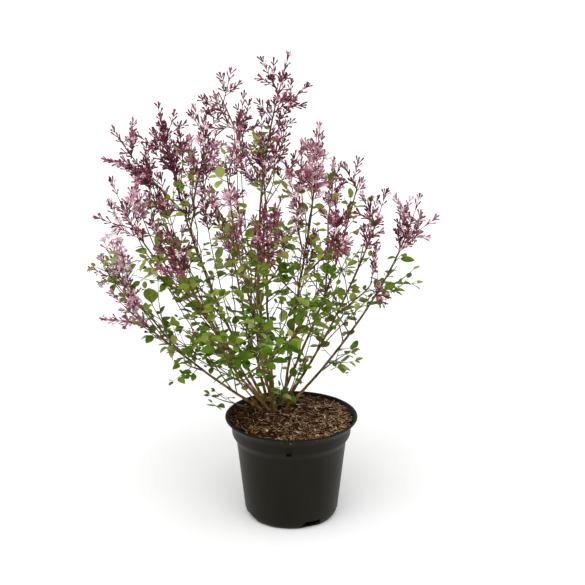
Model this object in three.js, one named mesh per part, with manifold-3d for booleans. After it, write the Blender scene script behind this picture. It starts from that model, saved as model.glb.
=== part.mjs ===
// A young lilac bush in a nursery pot, as an assembly of separate solids: the pot, the potting soil in it,
// the stems that rise from the soil, the boughs that fork from them, and the masses of leaves and blossom
// that they carry. Millimetres, +Z up, +X to the right, +Y to the back. The origin is the middle of the
// pot's flat underside.
import * as THREE from "three";
import { mergeVertices } from "three/addons/utils/BufferGeometryUtils.js";
import Module from "manifold-3d";

const wasm = await Module();
wasm.setup();

// Driving sizes --------------------------------------------------------------------------------------------

const CLEARANCE = 0.35; // gap between one solid and the next

const POT = {
  height: 179,
  wall: 1.8,
  floor: 3,
  footRadius: 70, // flat underside
  edgeHeight: 14, // of the rounded bottom edge
  baseRadius: 80.5, // wall, just above that edge
  wallTopRadius: 94,
  wallTop: 136,
  collarRadius: 101.5,
  collarFoot: 149,
  lipFoot: 164,
  lipRadius: 113,
  lipHeight: 5,
  sides: 48,
};
const DRAIN = { count: 4, firstBearing: 24, width: 40, height: 9, depth: 16 };
const LABEL_SLOT = { width: 9, height: 20, depth: 0.9, middle: 151 };
const SOIL = { plateau: 174, plateauRadius: 97, edge: 170.5 };

const STEM = { footRadius: 2.7, tipRadius: 1.3, flare: 0.45, flareLength: 0.05, sides: 6 };
const BOUGH = { footRadius: 1.8, tipRadius: 1.2, sides: 5 };
const LIMB = { step: 48, sway: 3, swayTurns: 9 }; // one straight stretch, and how far a limb wanders

const MASS = { sides: 4, stretches: 3, tipRadius: 1.1, room: 1.6 };
const TWIG = { radius: 1.1, tipRadius: 0.9, sides: 3, lean: 46, spacing: 64, longest: 104, shortest: 54 };
const SHOOT = { length: 112, rise: 0.6, radius: 1.6, spacing: 60, longest: 76 };
const LEAF = { length: 37, width: 25, thickness: 1.4, widestAt: 0.5, lean: 66 };
const BLOSSOM = { length: 40, width: 11, thickness: 11, widestAt: 0.6, lean: 44 };
const ROOT_DEPTH = 0.4; // how far past a twig's middle the root of a leaf or a spray is sunk

// Stems rise from the soil at a foot [x, y]. They and the boughs that fork from them each lead to one tip
// [x, y, z] of the crown, and their wood is bare up to the share `enters`, where a mass of foliage begins.
// `bow` is how far the limb bulges outwards. `leafy` is the share of the mass below its blossom.
const LEADERS = [
  { name: "low_left", foot: [-54, 40], tip: [-302, 18, 390], bow: 14, enters: 0.56, leafy: 0.45 },
  { name: "left", from: ["low_left", 0.46], tip: [-320, 84, 462], bow: 18, enters: 0.4, leafy: 0.4 },
  { name: "mid_left", foot: [-45, 53], tip: [-200, -104, 530], bow: 10, enters: 0.6, leafy: 0.4 },
  { name: "high_left", from: ["mid_left", 0.5], tip: [-288, -24, 592], bow: 20, enters: 0.4, leafy: 0.3 },
  { name: "shoulder_left", foot: [-46, 67], tip: [-226, 138, 688], bow: 26, enters: 0.7, leafy: 0.2 },
  { name: "arm_left", from: ["shoulder_left", 0.64], tip: [-296, 66, 658], bow: 6, enters: 0.24, leafy: 0.1 },
  { name: "crest_left", from: ["shoulder_left", 0.58], tip: [-134, 6, 712], bow: 8, enters: 0.3, leafy: 0.15 },
  { name: "front_left", foot: [-31, 45], tip: [-104, -104, 662], bow: 14, enters: 0.62, leafy: 0.4 },
  { name: "front", from: ["front_left", 0.46], tip: [-42, -168, 566], bow: 22, enters: 0.36, leafy: 0.4 },
  { name: "top", foot: [-28, 64], tip: [-2, 54, 786], bow: -44, enters: 0.7, leafy: 0.12 },
  { name: "top_left", from: ["top", 0.64], tip: [-136, 104, 752], bow: 4, enters: 0.28, leafy: 0.1 },
  { name: "crest_right", foot: [-17, 51], tip: [46, -44, 688], bow: 6, enters: 0.62, leafy: 0.4 },
  { name: "front_right", from: ["crest_right", 0.48], tip: [88, -114, 556], bow: 12, enters: 0.34, leafy: 0.4 },
  { name: "inner_right", foot: [-9, 76], tip: [156, 22, 564], bow: 16, enters: 0.6, leafy: 0.4 },
  { name: "low_right", from: ["inner_right", 0.44], tip: [140, -68, 458], bow: 14, enters: 0.4, leafy: 0.45 },
  { name: "far_right", foot: [-2, 62], tip: [214, 62, 544], bow: 30, enters: 0.66, leafy: 0.3 },
  { name: "shoulder_right", foot: [-19, 90], tip: [126, 138, 602], bow: 16, enters: 0.62, leafy: 0.35 },
  { name: "back_right", from: ["shoulder_right", 0.42], tip: [74, 236, 572], bow: 18, enters: 0.4, leafy: 0.3 },
  { name: "back", foot: [-32, 82], tip: [-52, 222, 656], bow: 16, enters: 0.62, leafy: 0.35 },
  { name: "back_left", from: ["back", 0.42], tip: [-178, 240, 580], bow: 18, enters: 0.4, leafy: 0.3 },
  { name: "low_back", foot: [-44, 81], tip: [-128, 288, 450], bow: 0, enters: 0.56, leafy: 0.45 },
  { name: "low_front", foot: [-38, 31], tip: [-138, -172, 438], bow: 22, enters: 0.52, leafy: 0.6 },
  { name: "low_front_right", from: ["low_front", 0.36], tip: [34, -188, 444], bow: 24, enters: 0.4, leafy: 0.6 },
];

// Leafy shoots, each from a limb at a share of its length or from a foot in the soil, and the bearing and
// rise that it sets off with.
const SHOOTS = [
  { name: "low_left", from: ["low_left", 0.34], bearing: 250 },
  { name: "left_back", from: ["shoulder_left", 0.34], bearing: 150 },
  { name: "left", from: ["mid_left", 0.36], bearing: 205 },
  { name: "inner_left", from: ["shoulder_left", 0.5], bearing: 215 },
  { name: "back", from: ["back", 0.4], bearing: 60 },
  { name: "middle", from: ["top", 0.42], bearing: 285 },
  { name: "front", from: ["front_left", 0.3], bearing: 275 },
  { name: "inner_right", from: ["crest_right", 0.36], bearing: 320 },
  { name: "outer_right", from: ["far_right", 0.55], bearing: 335, length: 84, rise: 0.8 },
  { name: "rim_left", foot: [-76, 44], bearing: 188, length: 76, rise: 0.45 },
  { name: "rim_right", from: ["far_right", 0.16], bearing: 20, length: 74, rise: 0.7 },
];

// Chance and vectors ---------------------------------------------------------------------------------------

// A generator of numbers from 0 to 1 that always gives the same run for the same seed.
function seeded(seed) {
  let state = 1000 + seed * 7919;
  return () => {
    state = (state * 1664525 + 1013904223) % 4294967296;
    return state / 4294967296;
  };
}

const { degToRad, lerp } = THREE.MathUtils;
const vector = (x, y, z) => new THREE.Vector3(x, y, z);
const along = (from, direction, distance) => from.clone().addScaledVector(direction, distance);
const between = (random, low, high) => lerp(low, high, random());

// A direction that leans away from a tangent by an angle, towards a turn around it.
function leaning(tangent, turn, angle) {
  const level = tangent.clone().cross(vector(0, 0, 1)).normalize();
  const across = level.applyAxisAngle(tangent, turn);
  return tangent.clone().multiplyScalar(Math.cos(angle)).addScaledVector(across, Math.sin(angle));
}

// A limb leads from its foot to its tip, bulges outwards by its bow, and sways a little to either side.
class LimbCurve extends THREE.Curve {
  constructor(foot, tip, bow, index) {
    super();
    const outwards = vector(tip.x - foot.x, tip.y - foot.y, 0).normalize();
    this.foot = foot;
    this.tip = tip;
    this.bulge = outwards.clone().multiplyScalar(bow);
    this.across = vector(-outwards.y, outwards.x, 0);
    this.phase = 2.4 * index;
  }

  getPoint(share, target = new THREE.Vector3()) {
    const belly = 4 * share * (1 - share);
    const sway = LIMB.sway * belly * Math.sin(LIMB.swayTurns * share + this.phase);
    target.lerpVectors(this.foot, this.tip, share);
    return target.addScaledVector(this.bulge, belly).addScaledVector(this.across, sway);
  }
}

// Solids ---------------------------------------------------------------------------------------------------

function solidOf(geometry) {
  geometry.deleteAttribute("normal");
  geometry.deleteAttribute("uv");
  const merged = mergeVertices(geometry, 1e-4);
  const vertProperties = merged.attributes.position.array;
  const triVerts = new Uint32Array(merged.index.array);
  return new wasm.Manifold(new wasm.Mesh({ numProp: 3, vertProperties, triVerts }));
}

function geometryOf(solid) {
  const mesh = solid.getMesh();
  const geometry = new THREE.BufferGeometry();
  geometry.setAttribute("position", new THREE.BufferAttribute(new Float32Array(mesh.vertProperties), 3));
  geometry.setIndex(new THREE.BufferAttribute(new Uint32Array(mesh.triVerts), 1));
  geometry.computeVertexNormals();
  return geometry;
}

// The largest body of a solid: any loose scrap is dropped, and any sealed hollow is filled.
const largerBody = (most, body) => (body.volume() > most.volume() ? body : most);
const largestBody = (solid) => solid.decompose().reduce(largerBody);

function joined(solids) {
  if (solids.length === 1) return solids[0];
  const half = Math.ceil(solids.length / 2);
  return joined(solids.slice(0, half)).add(joined(solids.slice(half)));
}

// A cylinder laid along a stretch of a limb's curve, with a radius of its own at every share of the curve.
function limbSolid(curve, from, to, radiusAt, sides, steps) {
  const geometry = new THREE.CylinderGeometry(1, 1, 1, sides, steps);
  const position = geometry.attributes.position;
  for (let i = 0; i < position.count; i++) {
    const share = lerp(from, to, position.getY(i) + 0.5);
    const upper = curve.across.clone().cross(curve.getTangent(share)).normalize();
    const radius = radiusAt(share);
    const point = curve.getPoint(share);
    point.addScaledVector(curve.across, radius * position.getX(i));
    point.addScaledVector(upper, radius * position.getZ(i));
    position.setXYZ(i, point.x, point.y, point.z);
  }
  return solidOf(geometry);
}

// A stalk that swells into a leaf or a spray of blossom at its end. It heads from its root with its flat face
// towards `facing`.
function stalkSolid(root, heading, facing, stalk, { length, width, thickness, widestAt }) {
  const side = heading.clone().cross(facing).normalize();
  const face = side.clone().cross(heading);
  const rows = [
    { at: 0, across: 0, through: 0 },
    { at: 0, across: TWIG.radius, through: TWIG.radius },
    { at: stalk, across: TWIG.tipRadius, through: TWIG.tipRadius },
    { at: stalk + widestAt * length, across: width / 2, through: thickness / 2 },
    { at: stalk + length, across: 0, through: 0 },
  ];
  const outline = rows.map(({ across }, row) => new THREE.Vector2(Math.sign(across), row));
  const geometry = new THREE.LatheGeometry(outline, TWIG.sides);
  const position = geometry.attributes.position;
  for (let i = 0; i < position.count; i++) {
    const { at, across, through } = rows[Math.round(position.getY(i))];
    const point = along(root, heading, at);
    point.addScaledVector(side, across * position.getX(i));
    point.addScaledVector(face, through * position.getZ(i));
    position.setXYZ(i, point.x, point.y, point.z);
  }
  return solidOf(geometry);
}

// The six corners of a leaf or a spray of blossom that heads from a root, with its flat face towards
// `facing`.
function bladeCorners(root, heading, facing, { length, width, thickness, widestAt }) {
  const side = heading.clone().cross(facing).normalize();
  const face = heading.clone().cross(side);
  const middle = along(root, heading, widestAt * length);
  return {
    root: along(root, heading, -ROOT_DEPTH),
    tip: along(root, heading, length),
    sides: [along(middle, side, width / 2), along(middle, side, -width / 2)],
    faces: [along(middle, face, thickness / 2), along(middle, face, -thickness / 2)],
  };
}

// The eight-faced solid between those corners.
function bladeSolid({ root, tip, sides, faces }) {
  const geometry = new THREE.OctahedronGeometry(1);
  const position = geometry.attributes.position;
  for (let i = 0; i < position.count; i++) {
    const [x, y, z] = [position.getX(i), position.getY(i), position.getZ(i)].map(Math.round);
    const corner = z ? { 1: tip, "-1": root }[z] : y ? faces[(1 - y) / 2] : sides[(1 - x) / 2];
    position.setXYZ(i, corner.x, corner.y, corner.z);
  }
  return solidOf(geometry);
}

// Pot and soil ---------------------------------------------------------------------------------------------

function turned(outline) {
  const profile = outline.map(([radius, height]) => new THREE.Vector2(radius, height));
  return solidOf(new THREE.LatheGeometry(profile, POT.sides).rotateX(Math.PI / 2));
}

// The rounded edge round the pot's underside and the wall above it up to the lip's foot, moved inwards.
function wallOutline(inwards) {
  const edge = [0, 35, 90].map((turn) => [
    lerp(POT.footRadius, POT.baseRadius, Math.sin(degToRad(turn))),
    POT.edgeHeight * (1 - Math.cos(degToRad(turn))),
  ]);
  const wall = [
    [POT.wallTopRadius, POT.wallTop],
    [POT.collarRadius, POT.collarFoot],
    [POT.collarRadius + 1.5, POT.lipFoot],
  ];
  return [...edge, ...wall].map(([radius, height]) => [radius - inwards, height]);
}

function potSolid() {
  const lip = [
    [POT.lipRadius - 2.5, POT.height - POT.lipHeight],
    [POT.lipRadius, POT.height - POT.lipHeight / 2],
    [POT.lipRadius - 0.5, POT.height - 1],
    [POT.lipRadius - 2, POT.height],
    [POT.lipRadius - 4, POT.height],
  ];
  const inside = wallOutline(POT.wall).slice(2).reverse();
  const floor = [[POT.footRadius, POT.floor], [0, POT.floor]];
  const pot = turned([[0, 0], ...wallOutline(0), ...lip, ...inside, ...floor]);
  return [...drainNotches(), labelSlot()].reduce((left, block) => left.subtract(block), pot);
}

// Blocks that cut the drain notches out of the pot's bottom edge.
function drainNotches() {
  return Array.from({ length: DRAIN.count }, (_, i) => {
    const block = new THREE.BoxGeometry(DRAIN.width, DRAIN.depth, 2 * DRAIN.height);
    block.translate(0, DRAIN.depth / 2 - POT.baseRadius - 2, 0);
    return solidOf(block.rotateZ(degToRad(DRAIN.firstBearing + (i * 360) / DRAIN.count)));
  });
}

// A block that cuts the shallow slot for a plant label into the front of the collar.
function labelSlot() {
  const { width, height, depth, middle } = LABEL_SLOT;
  const block = new THREE.BoxGeometry(width, 2 * depth, height);
  return solidOf(block.translate(0, -POT.collarRadius, middle));
}

function soilSolid() {
  const inner = wallOutline(POT.wall + CLEARANCE);
  const side = inner.filter(([, height]) => height > POT.floor && height < SOIL.edge);
  const bottom = POT.floor + CLEARANCE;
  const edgeRadius = side.at(-1)[0];
  return turned([
    [0, bottom],
    [POT.footRadius - 2, bottom],
    ...side,
    [edgeRadius, SOIL.edge],
    [SOIL.plateauRadius, SOIL.plateau],
    [0, SOIL.plateau],
  ]);
}

// Limbs ----------------------------------------------------------------------------------------------------

const ground = SOIL.plateau + CLEARANCE;
const limbs = new Map();

for (const [index, leader] of LEADERS.entries()) {
  const parent = leader.from && limbs.get(leader.from[0]);
  const foot = parent ? parent.curve.getPoint(leader.from[1]) : vector(...leader.foot, ground);
  const size = parent ? BOUGH : STEM;
  const radiusAt = (share) => {
    const flare = parent ? 0 : STEM.flare * Math.exp(-share / STEM.flareLength);
    return lerp(size.footRadius, size.tipRadius, share) * (1 + flare);
  };
  const curve = new LimbCurve(foot, vector(...leader.tip), leader.bow, index);
  limbs.set(leader.name, { ...leader, index, parent, curve, radiusAt, sides: size.sides });
}

// A limb's bare wood, thicker all round by `extra`.
function woodSolid({ curve, enters, radiusAt, sides }, extra = 0) {
  const steps = Math.max(3, Math.round((curve.getLength() * enters) / LIMB.step));
  return limbSolid(curve, 0, enters, (share) => radiusAt(share) + extra, sides, steps);
}

// Everything above the level of the stems' feet.
function aboveGround() {
  const side = 2000;
  return solidOf(new THREE.BoxGeometry(side, side, side).translate(0, 0, ground + side / 2));
}

// What sprouts from a limb is cut back clear of its bark, and what rises from the soil is cut flat above it.
function cutAtFoot(body, carrier) {
  const left = carrier ? body.subtract(woodSolid(carrier, 1.2 * CLEARANCE)) : body.intersect(aboveGround());
  return largestBody(left);
}

// Masses of foliage ----------------------------------------------------------------------------------------

// Every mass has a stem of its own, which ends where its last blade begins. A flowering mass carries a limb's
// curve on to its tip, and a leafy shoot is all one mass, from its foot.
const masses = [];
const kindAtTip = ({ leafy }) => (leafy < 1 ? BLOSSOM : LEAF);
const endOf = (curve, kind) => 1 - kind.length / curve.getLength();

for (const limb of limbs.values()) {
  const start = limb.enters + CLEARANCE / limb.curve.getLength();
  const end = endOf(limb.curve, BLOSSOM);
  const footRadius = limb.radiusAt(start);
  masses.push({ ...limb, ...TWIG, name: `spray_${limb.name}`, start, end, footRadius, limb });
}

for (const [order, shoot] of SHOOTS.entries()) {
  const limb = shoot.from && limbs.get(shoot.from[0]);
  const foot = limb ? limb.curve.getPoint(shoot.from[1]) : vector(...shoot.foot, ground);
  const { length, rise, radius, spacing, longest } = { ...SHOOT, ...shoot };
  const bearing = degToRad(shoot.bearing);
  const heading = vector(Math.cos(bearing), Math.sin(bearing), rise).normalize();
  const curve = new LimbCurve(foot, along(foot, heading, length), 0.08 * length, order);
  const [index, start, end] = [limbs.size + order, 0, endOf(curve, LEAF)];
  const name = `shoot_${shoot.name}`;
  masses.push({ name, index, curve, start, end, leafy: 1, footRadius: radius, spacing, longest, limb });
}

const PATH_POINTS = 10;
const pathOf = (curve, from, to) =>
  Array.from({ length: PATH_POINTS + 1 }, (_, i) => curve.getPoint(lerp(from, to, i / PATH_POINTS)));
const axes = new Map(masses.map((mass) => [mass, pathOf(mass.curve, Math.max(mass.start, 0.12), 1)]));
const woods = [...limbs.values()].map((limb) => [limb, pathOf(limb.curve, 0, limb.enters)]);

function distanceToPath(point, path) {
  const stretch = new THREE.Line3();
  const nearest = new THREE.Vector3();
  const distances = path.slice(1).map((end, i) => {
    stretch.set(path[i], end).closestPointToPoint(point, true, nearest);
    return nearest.distanceTo(point);
  });
  return Math.min(...distances);
}

// Whether a point lies in a mass's own space: nearer to its axis than to any other's, clear of every limb's
// wood, and clear of the pot and the soil.
function hasRoom(point, mass) {
  const own = distanceToPath(point, axes.get(mass)) + MASS.room;
  const nearOther = [...axes].some(([other, path]) => other !== mass && distanceToPath(point, path) < own);
  const nearWood = woods.some(([limb, path]) => distanceToPath(point, path) < limb.radiusAt(0) + MASS.room);
  const overPot = Math.hypot(point.x, point.y) < POT.lipRadius + MASS.room;
  const lowest = overPot ? POT.height + MASS.room : 0;
  return !nearOther && !nearWood && point.z > lowest;
}

function bladeHasRoom({ tip, root, sides, faces }, mass) {
  const middle = faces[0].clone().lerp(faces[1], 0.5);
  const points = [tip, ...sides, middle, middle.clone().lerp(tip, 0.5), middle.clone().lerp(root, 0.4)];
  return points.every((point) => hasRoom(point, mass));
}

// A leaf or a spray of blossom a little larger or smaller than the rest.
function grown({ length, width, thickness, widestAt }, random) {
  const size = between(random, 0.82, 1.1);
  return { length: size * length, width: size * width, thickness, widestAt };
}

// A leaf lies nearly level whichever way it heads.
const leafFacing = (random) => vector(between(random, -0.4, 0.4), between(random, -0.4, 0.4), 1);

// Blades that stand out to both sides of a twig, each a little further along than the last.
function sideBlades(root, heading, length, kind, random) {
  const turn = between(random, 0, Math.PI);
  return [0.5, 0.85].map((share, order) => {
    const outwards = leaning(heading, turn + order * Math.PI, degToRad(kind.lean));
    const facing = leafFacing(random);
    return bladeCorners(along(root, heading, share * length), outwards, facing, grown(kind, random));
  });
}

// The solids of one twig, which ends in a leaf or a spray and bears more to its sides. Where the whole twig
// has no room a shorter one is tried, and side blades that have no room are left off.
function twigSolids(mass, root, heading, length, kind, random) {
  for (const reach of [1, 0.72, 0.5]) {
    const facing = leafFacing(random);
    const last = grown(kind, random);
    const stalk = Math.max(reach * length - last.length, 6);
    const end = bladeCorners(along(root, heading, stalk), heading, facing, last);
    if (bladeHasRoom(end, mass) && hasRoom(along(root, heading, 0.6 * stalk), mass)) {
      const sides = sideBlades(root, heading, stalk, kind, random);
      const blades = sides.filter((blade) => bladeHasRoom(blade, mass));
      return [stalkSolid(root, heading, facing, stalk, last), ...blades.map(bladeSolid)];
    }
  }
  return [];
}

// Opposite twigs stand at even steps up a mass's stem, each pair a quarter turn from the last. Those below
// the share `leafy` bear leaves and the rest blossom, and they are shorter the nearer they stand to the tip.
function foliage(mass) {
  const { curve, start, end, leafy, spacing, longest, index } = mass;
  const random = seeded(index);
  const twigs = 2 * Math.max(2, Math.round((curve.getLength() * (end - start)) / spacing));
  const solids = [];
  for (let twig = 0; twig < twigs; twig++) {
    const height = (twig + 0.6) / (twigs + 0.4);
    const kind = height > leafy ? BLOSSOM : LEAF;
    const share = lerp(start, end, height);
    const turn = Math.floor(twig / 2) * (Math.PI / 2) + (twig % 2) * Math.PI + between(random, -0.4, 0.4);
    const heading = leaning(curve.getTangent(share), turn, degToRad(TWIG.lean * between(random, 0.85, 1.15)));
    const length = lerp(longest, TWIG.shortest, height) * between(random, 0.8, 1.05);
    solids.push(...twigSolids(mass, curve.getPoint(share), heading, length, kind, random));
  }
  const last = bladeCorners(curve.getPoint(end), curve.getTangent(end), leafFacing(random), kindAtTip(mass));
  return [...solids, bladeSolid(last)];
}

function massSolid(mass) {
  const { curve, start, end, footRadius, limb, leafy } = mass;
  const radiusAt = (share) => lerp(footRadius, MASS.tipRadius, (share - start) / (end - start));
  const stem = limbSolid(curve, start, end, radiusAt, MASS.sides, MASS.stretches);
  const whole = joined([stem, ...foliage(mass)]);
  return leafy < 1 ? largestBody(whole) : cutAtFoot(whole, limb);
}

// Assembly -------------------------------------------------------------------------------------------------

const finish = (color, roughness) => new THREE.MeshStandardMaterial({ color, roughness, metalness: 0 });
const plastic = finish(0x2b2a26, 0.5);
const soil = finish(0x4a3424, 0.95);
const bark = finish(0x5d4230, 0.85);
const leaves = finish(0x4f7d22, 0.6);
const flowers = finish(0x8a3f66, 0.7);

const bush = new THREE.Group();

function place(name, solid, material) {
  const mesh = new THREE.Mesh(geometryOf(solid), material);
  mesh.name = name;
  bush.add(mesh);
}

place("pot", potSolid(), plastic);
place("potting_soil", soilSolid(), soil);
for (const limb of limbs.values()) {
  place(`${limb.parent ? "bough" : "stem"}_${limb.name}`, cutAtFoot(woodSolid(limb), limb.parent), bark);
}
for (const mass of masses) place(mass.name, massSolid(mass), mass.leafy < 1 ? flowers : leaves);

export default bush;
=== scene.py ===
"""A young lilac bush in flower in a black nursery pot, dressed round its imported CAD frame.

The bush grows by the same rule as its CAD solids: limbs, then the twigs of every mass of foliage with the
same seeds. It is carried on from there to leaf pairs, panicles, buds and open flowers. Growth is worked out
in millimetres and everything in Blender is in metres, with +Z up and +Y to the back.
"""

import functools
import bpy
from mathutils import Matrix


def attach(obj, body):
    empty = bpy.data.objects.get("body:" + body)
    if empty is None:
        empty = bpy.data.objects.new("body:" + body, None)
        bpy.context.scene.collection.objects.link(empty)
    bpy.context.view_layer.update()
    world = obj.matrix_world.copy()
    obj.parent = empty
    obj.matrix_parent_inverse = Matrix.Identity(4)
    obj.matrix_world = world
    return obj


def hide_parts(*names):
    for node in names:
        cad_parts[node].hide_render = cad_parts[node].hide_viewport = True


bl_info = {
    "name": "Lilac bush in a nursery pot",
    "version": (1, 0, 0),
    "blender": (4, 5, 0),
    "location": "3D View > Sidebar > Lilac bush",
    "description": "Builds a potted lilac bush in flower, its pot, its mulch and a small studio round it",
    "category": "Object",
}

from collections import defaultdict, namedtuple
from math import ceil, cos, exp, hypot, pi, radians, sin

import bmesh
import bpy
import numpy as np
from bpy.props import FloatProperty, FloatVectorProperty, IntProperty, PointerProperty
from mathutils import Matrix, Vector, noise

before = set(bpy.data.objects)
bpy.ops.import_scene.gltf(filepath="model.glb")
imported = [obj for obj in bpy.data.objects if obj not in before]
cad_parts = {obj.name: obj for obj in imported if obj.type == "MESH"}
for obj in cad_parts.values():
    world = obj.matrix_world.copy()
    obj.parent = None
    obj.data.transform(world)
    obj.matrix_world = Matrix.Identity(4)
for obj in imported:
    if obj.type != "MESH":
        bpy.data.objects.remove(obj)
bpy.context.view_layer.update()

MM = 0.001
UP = np.array([0.0, 0.0, 1.0])
OPPOSITE = (0, pi)  # the turns of the two that stand in a pair

# --- Sizes of the growth, in millimetres, as the CAD solids have them ---

POT_HEIGHT = 179.0
POT_LIP_RADIUS = 113.0
GROUND = 174.35  # level at which the stems leave the soil

STEM = {"foot": 2.7, "tip": 1.3, "flare": 0.45}
BOUGH = {"foot": 1.8, "tip": 1.2, "flare": 0.0}
FLARE_LENGTH = 0.05  # as a share of the limb
SWAY = 3.0
SWAY_TURNS = 9.0

TWIG = {"lean": 46.0, "spacing": 64.0, "longest": 104.0, "shortest": 54.0}
SHOOT = {"radius": 1.6, "spacing": 60.0, "longest": 76.0}
LEAF = {"length": 37.0, "width": 25.0, "widest_at": 0.5, "lean": 66.0}
BLOSSOM = {"length": 40.0, "width": 11.0, "widest_at": 0.6, "lean": 44.0}
ROOT_DEPTH = 0.4  # how deep a leaf sits in its twig
CLEARANCE = 0.35  # between a limb and the stem of its mass
ROOM = 1.6  # round every mass

# Each limb leads to one tip of the crown. It starts in the soil at (x, y), or forks from a limb at a share of
# its length. Its wood is bare up to the share where its mass starts, and the lower share of that is leafy.
LEADERS = [  # name, start, tip, bow, bare share, leafy share
    ("low_left", (-54, 40), (-302, 18, 390), 14, 0.56, 0.45),
    ("left", ("low_left", 0.46), (-320, 84, 462), 18, 0.4, 0.4),
    ("mid_left", (-45, 53), (-200, -104, 530), 10, 0.6, 0.4),
    ("high_left", ("mid_left", 0.5), (-288, -24, 592), 20, 0.4, 0.3),
    ("shoulder_left", (-46, 67), (-226, 138, 688), 26, 0.7, 0.2),
    ("arm_left", ("shoulder_left", 0.64), (-296, 66, 658), 6, 0.24, 0.1),
    ("crest_left", ("shoulder_left", 0.58), (-134, 6, 712), 8, 0.3, 0.15),
    ("front_left", (-31, 45), (-104, -104, 662), 14, 0.62, 0.4),
    ("front", ("front_left", 0.46), (-42, -168, 566), 22, 0.36, 0.4),
    ("top", (-28, 64), (-2, 54, 786), -44, 0.7, 0.12),
    ("top_left", ("top", 0.64), (-136, 104, 752), 4, 0.28, 0.1),
    ("crest_right", (-17, 51), (46, -44, 688), 6, 0.62, 0.4),
    ("front_right", ("crest_right", 0.48), (88, -114, 556), 12, 0.34, 0.4),
    ("inner_right", (-9, 76), (156, 22, 564), 16, 0.6, 0.4),
    ("low_right", ("inner_right", 0.44), (140, -68, 458), 14, 0.4, 0.45),
    ("far_right", (-2, 62), (214, 62, 544), 30, 0.66, 0.3),
    ("shoulder_right", (-19, 90), (126, 138, 602), 16, 0.62, 0.35),
    ("back_right", ("shoulder_right", 0.42), (74, 236, 572), 18, 0.4, 0.3),
    ("back", (-32, 82), (-52, 222, 656), 16, 0.62, 0.35),
    ("back_left", ("back", 0.42), (-178, 240, 580), 18, 0.4, 0.3),
    ("low_back", (-44, 81), (-128, 288, 450), 0, 0.56, 0.45),
    ("low_front", (-38, 31), (-138, -172, 438), 22, 0.52, 0.6),
    ("low_front_right", ("low_front", 0.36), (34, -188, 444), 24, 0.4, 0.6),
]

SHOOTS = [  # name, start, bearing in degrees, length, rise
    ("low_left", ("low_left", 0.34), 250, 112, 0.6),
    ("left_back", ("shoulder_left", 0.34), 150, 112, 0.6),
    ("left", ("mid_left", 0.36), 205, 112, 0.6),
    ("inner_left", ("shoulder_left", 0.5), 215, 112, 0.6),
    ("back", ("back", 0.4), 60, 112, 0.6),
    ("middle", ("top", 0.42), 285, 112, 0.6),
    ("front", ("front_left", 0.3), 275, 112, 0.6),
    ("inner_right", ("crest_right", 0.36), 320, 112, 0.6),
    ("outer_right", ("far_right", 0.55), 335, 84, 0.8),
    ("rim_left", (-76, 44), 188, 76, 0.45),
    ("rim_right", ("far_right", 0.16), 20, 74, 0.7),
]

# --- Finer growth, in millimetres and degrees ---

NODE_GAP = 29.0  # between the nodes of a limb
KINK = 0.9  # how far a limb steps aside at each node
LIVING_GIRTH = 0.88  # how thick a limb is between its nodes, against its CAD solid
NODE_SWELLING = 0.2  # how much thicker it is at a node
NODE_LENGTH = 2.6  # how far the swelling reaches along it
WOOD_STEP = 4.5  # between the points of a limb's wood
SIDE_STEM = {"foot": 1.2, "tip": 0.7, "end": 26}  # radii, and the length of the spike or twig at its end
LEAF_GAP = 19.0  # between the leaf pairs of a twig
LEAF_RISE = 0.55  # how much of its twig's rise a leaf keeps
LARGE_LEAF = {"chance": 0.13, "size": 1.5}  # among the single leaves on a limb
SPIKE_GAP = 9.5  # between the pairs of side spikes of a panicle
PANICLE = {"length": 95, "spike": 28}  # at most, at the end of a mass, and the longest of its side spikes
SIDE_PANICLE = {"length": 52, "spike": 25}  # at the end of a side stem
TWIG_SPIKE = 25  # the longest side spikes of a twig
FLOWER_GAP = 7.4  # between the flowers of a spike
TWIN_FLOWERS = 0.12  # chance that a second flower stands beside one of a pair
BUD_LENGTH = 11.5
TWIGLET = {"gap": 22.0, "lean": 50.0, "longest": 66.0, "shortest": 36.0, "spike": 22.0}  # between the twigs
LOWEST_LEAF = 205.0  # below this the stems are bare, and LEAFY_RISE higher every node bears leaves
LEAFY_RISE = 75.0
LOWEST_FLOWER = 480.0  # below this a thin stem between two limbs ends in leaves
OLD_WOOD_TOP = 228.0  # height up to which the bark is old and peels

LOWEST_FLUSH = 430.0  # above this a few young leaves are flushed with brown
FLUSHED = 0.04  # their share
NOT_FRESH = 0.83  # share of the leaves that aren't pale and fresh
DEEP = {"from": 290.0, "to": 500.0, "low": 0.8, "high": 0.14}  # share of deep green leaves, low and high up
THINNING = {"from": 400.0, "to": 480.0, "low": 1.3, "high": 0.7}  # how many leaves grow, low and high up

# The first seed of every kind of growth, so that each goes its own way.
SEEDS = {"limb": 200, "side_stem": 300, "link": 500, "twig": 1000, "mass": 5000, "base": 77}

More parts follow.
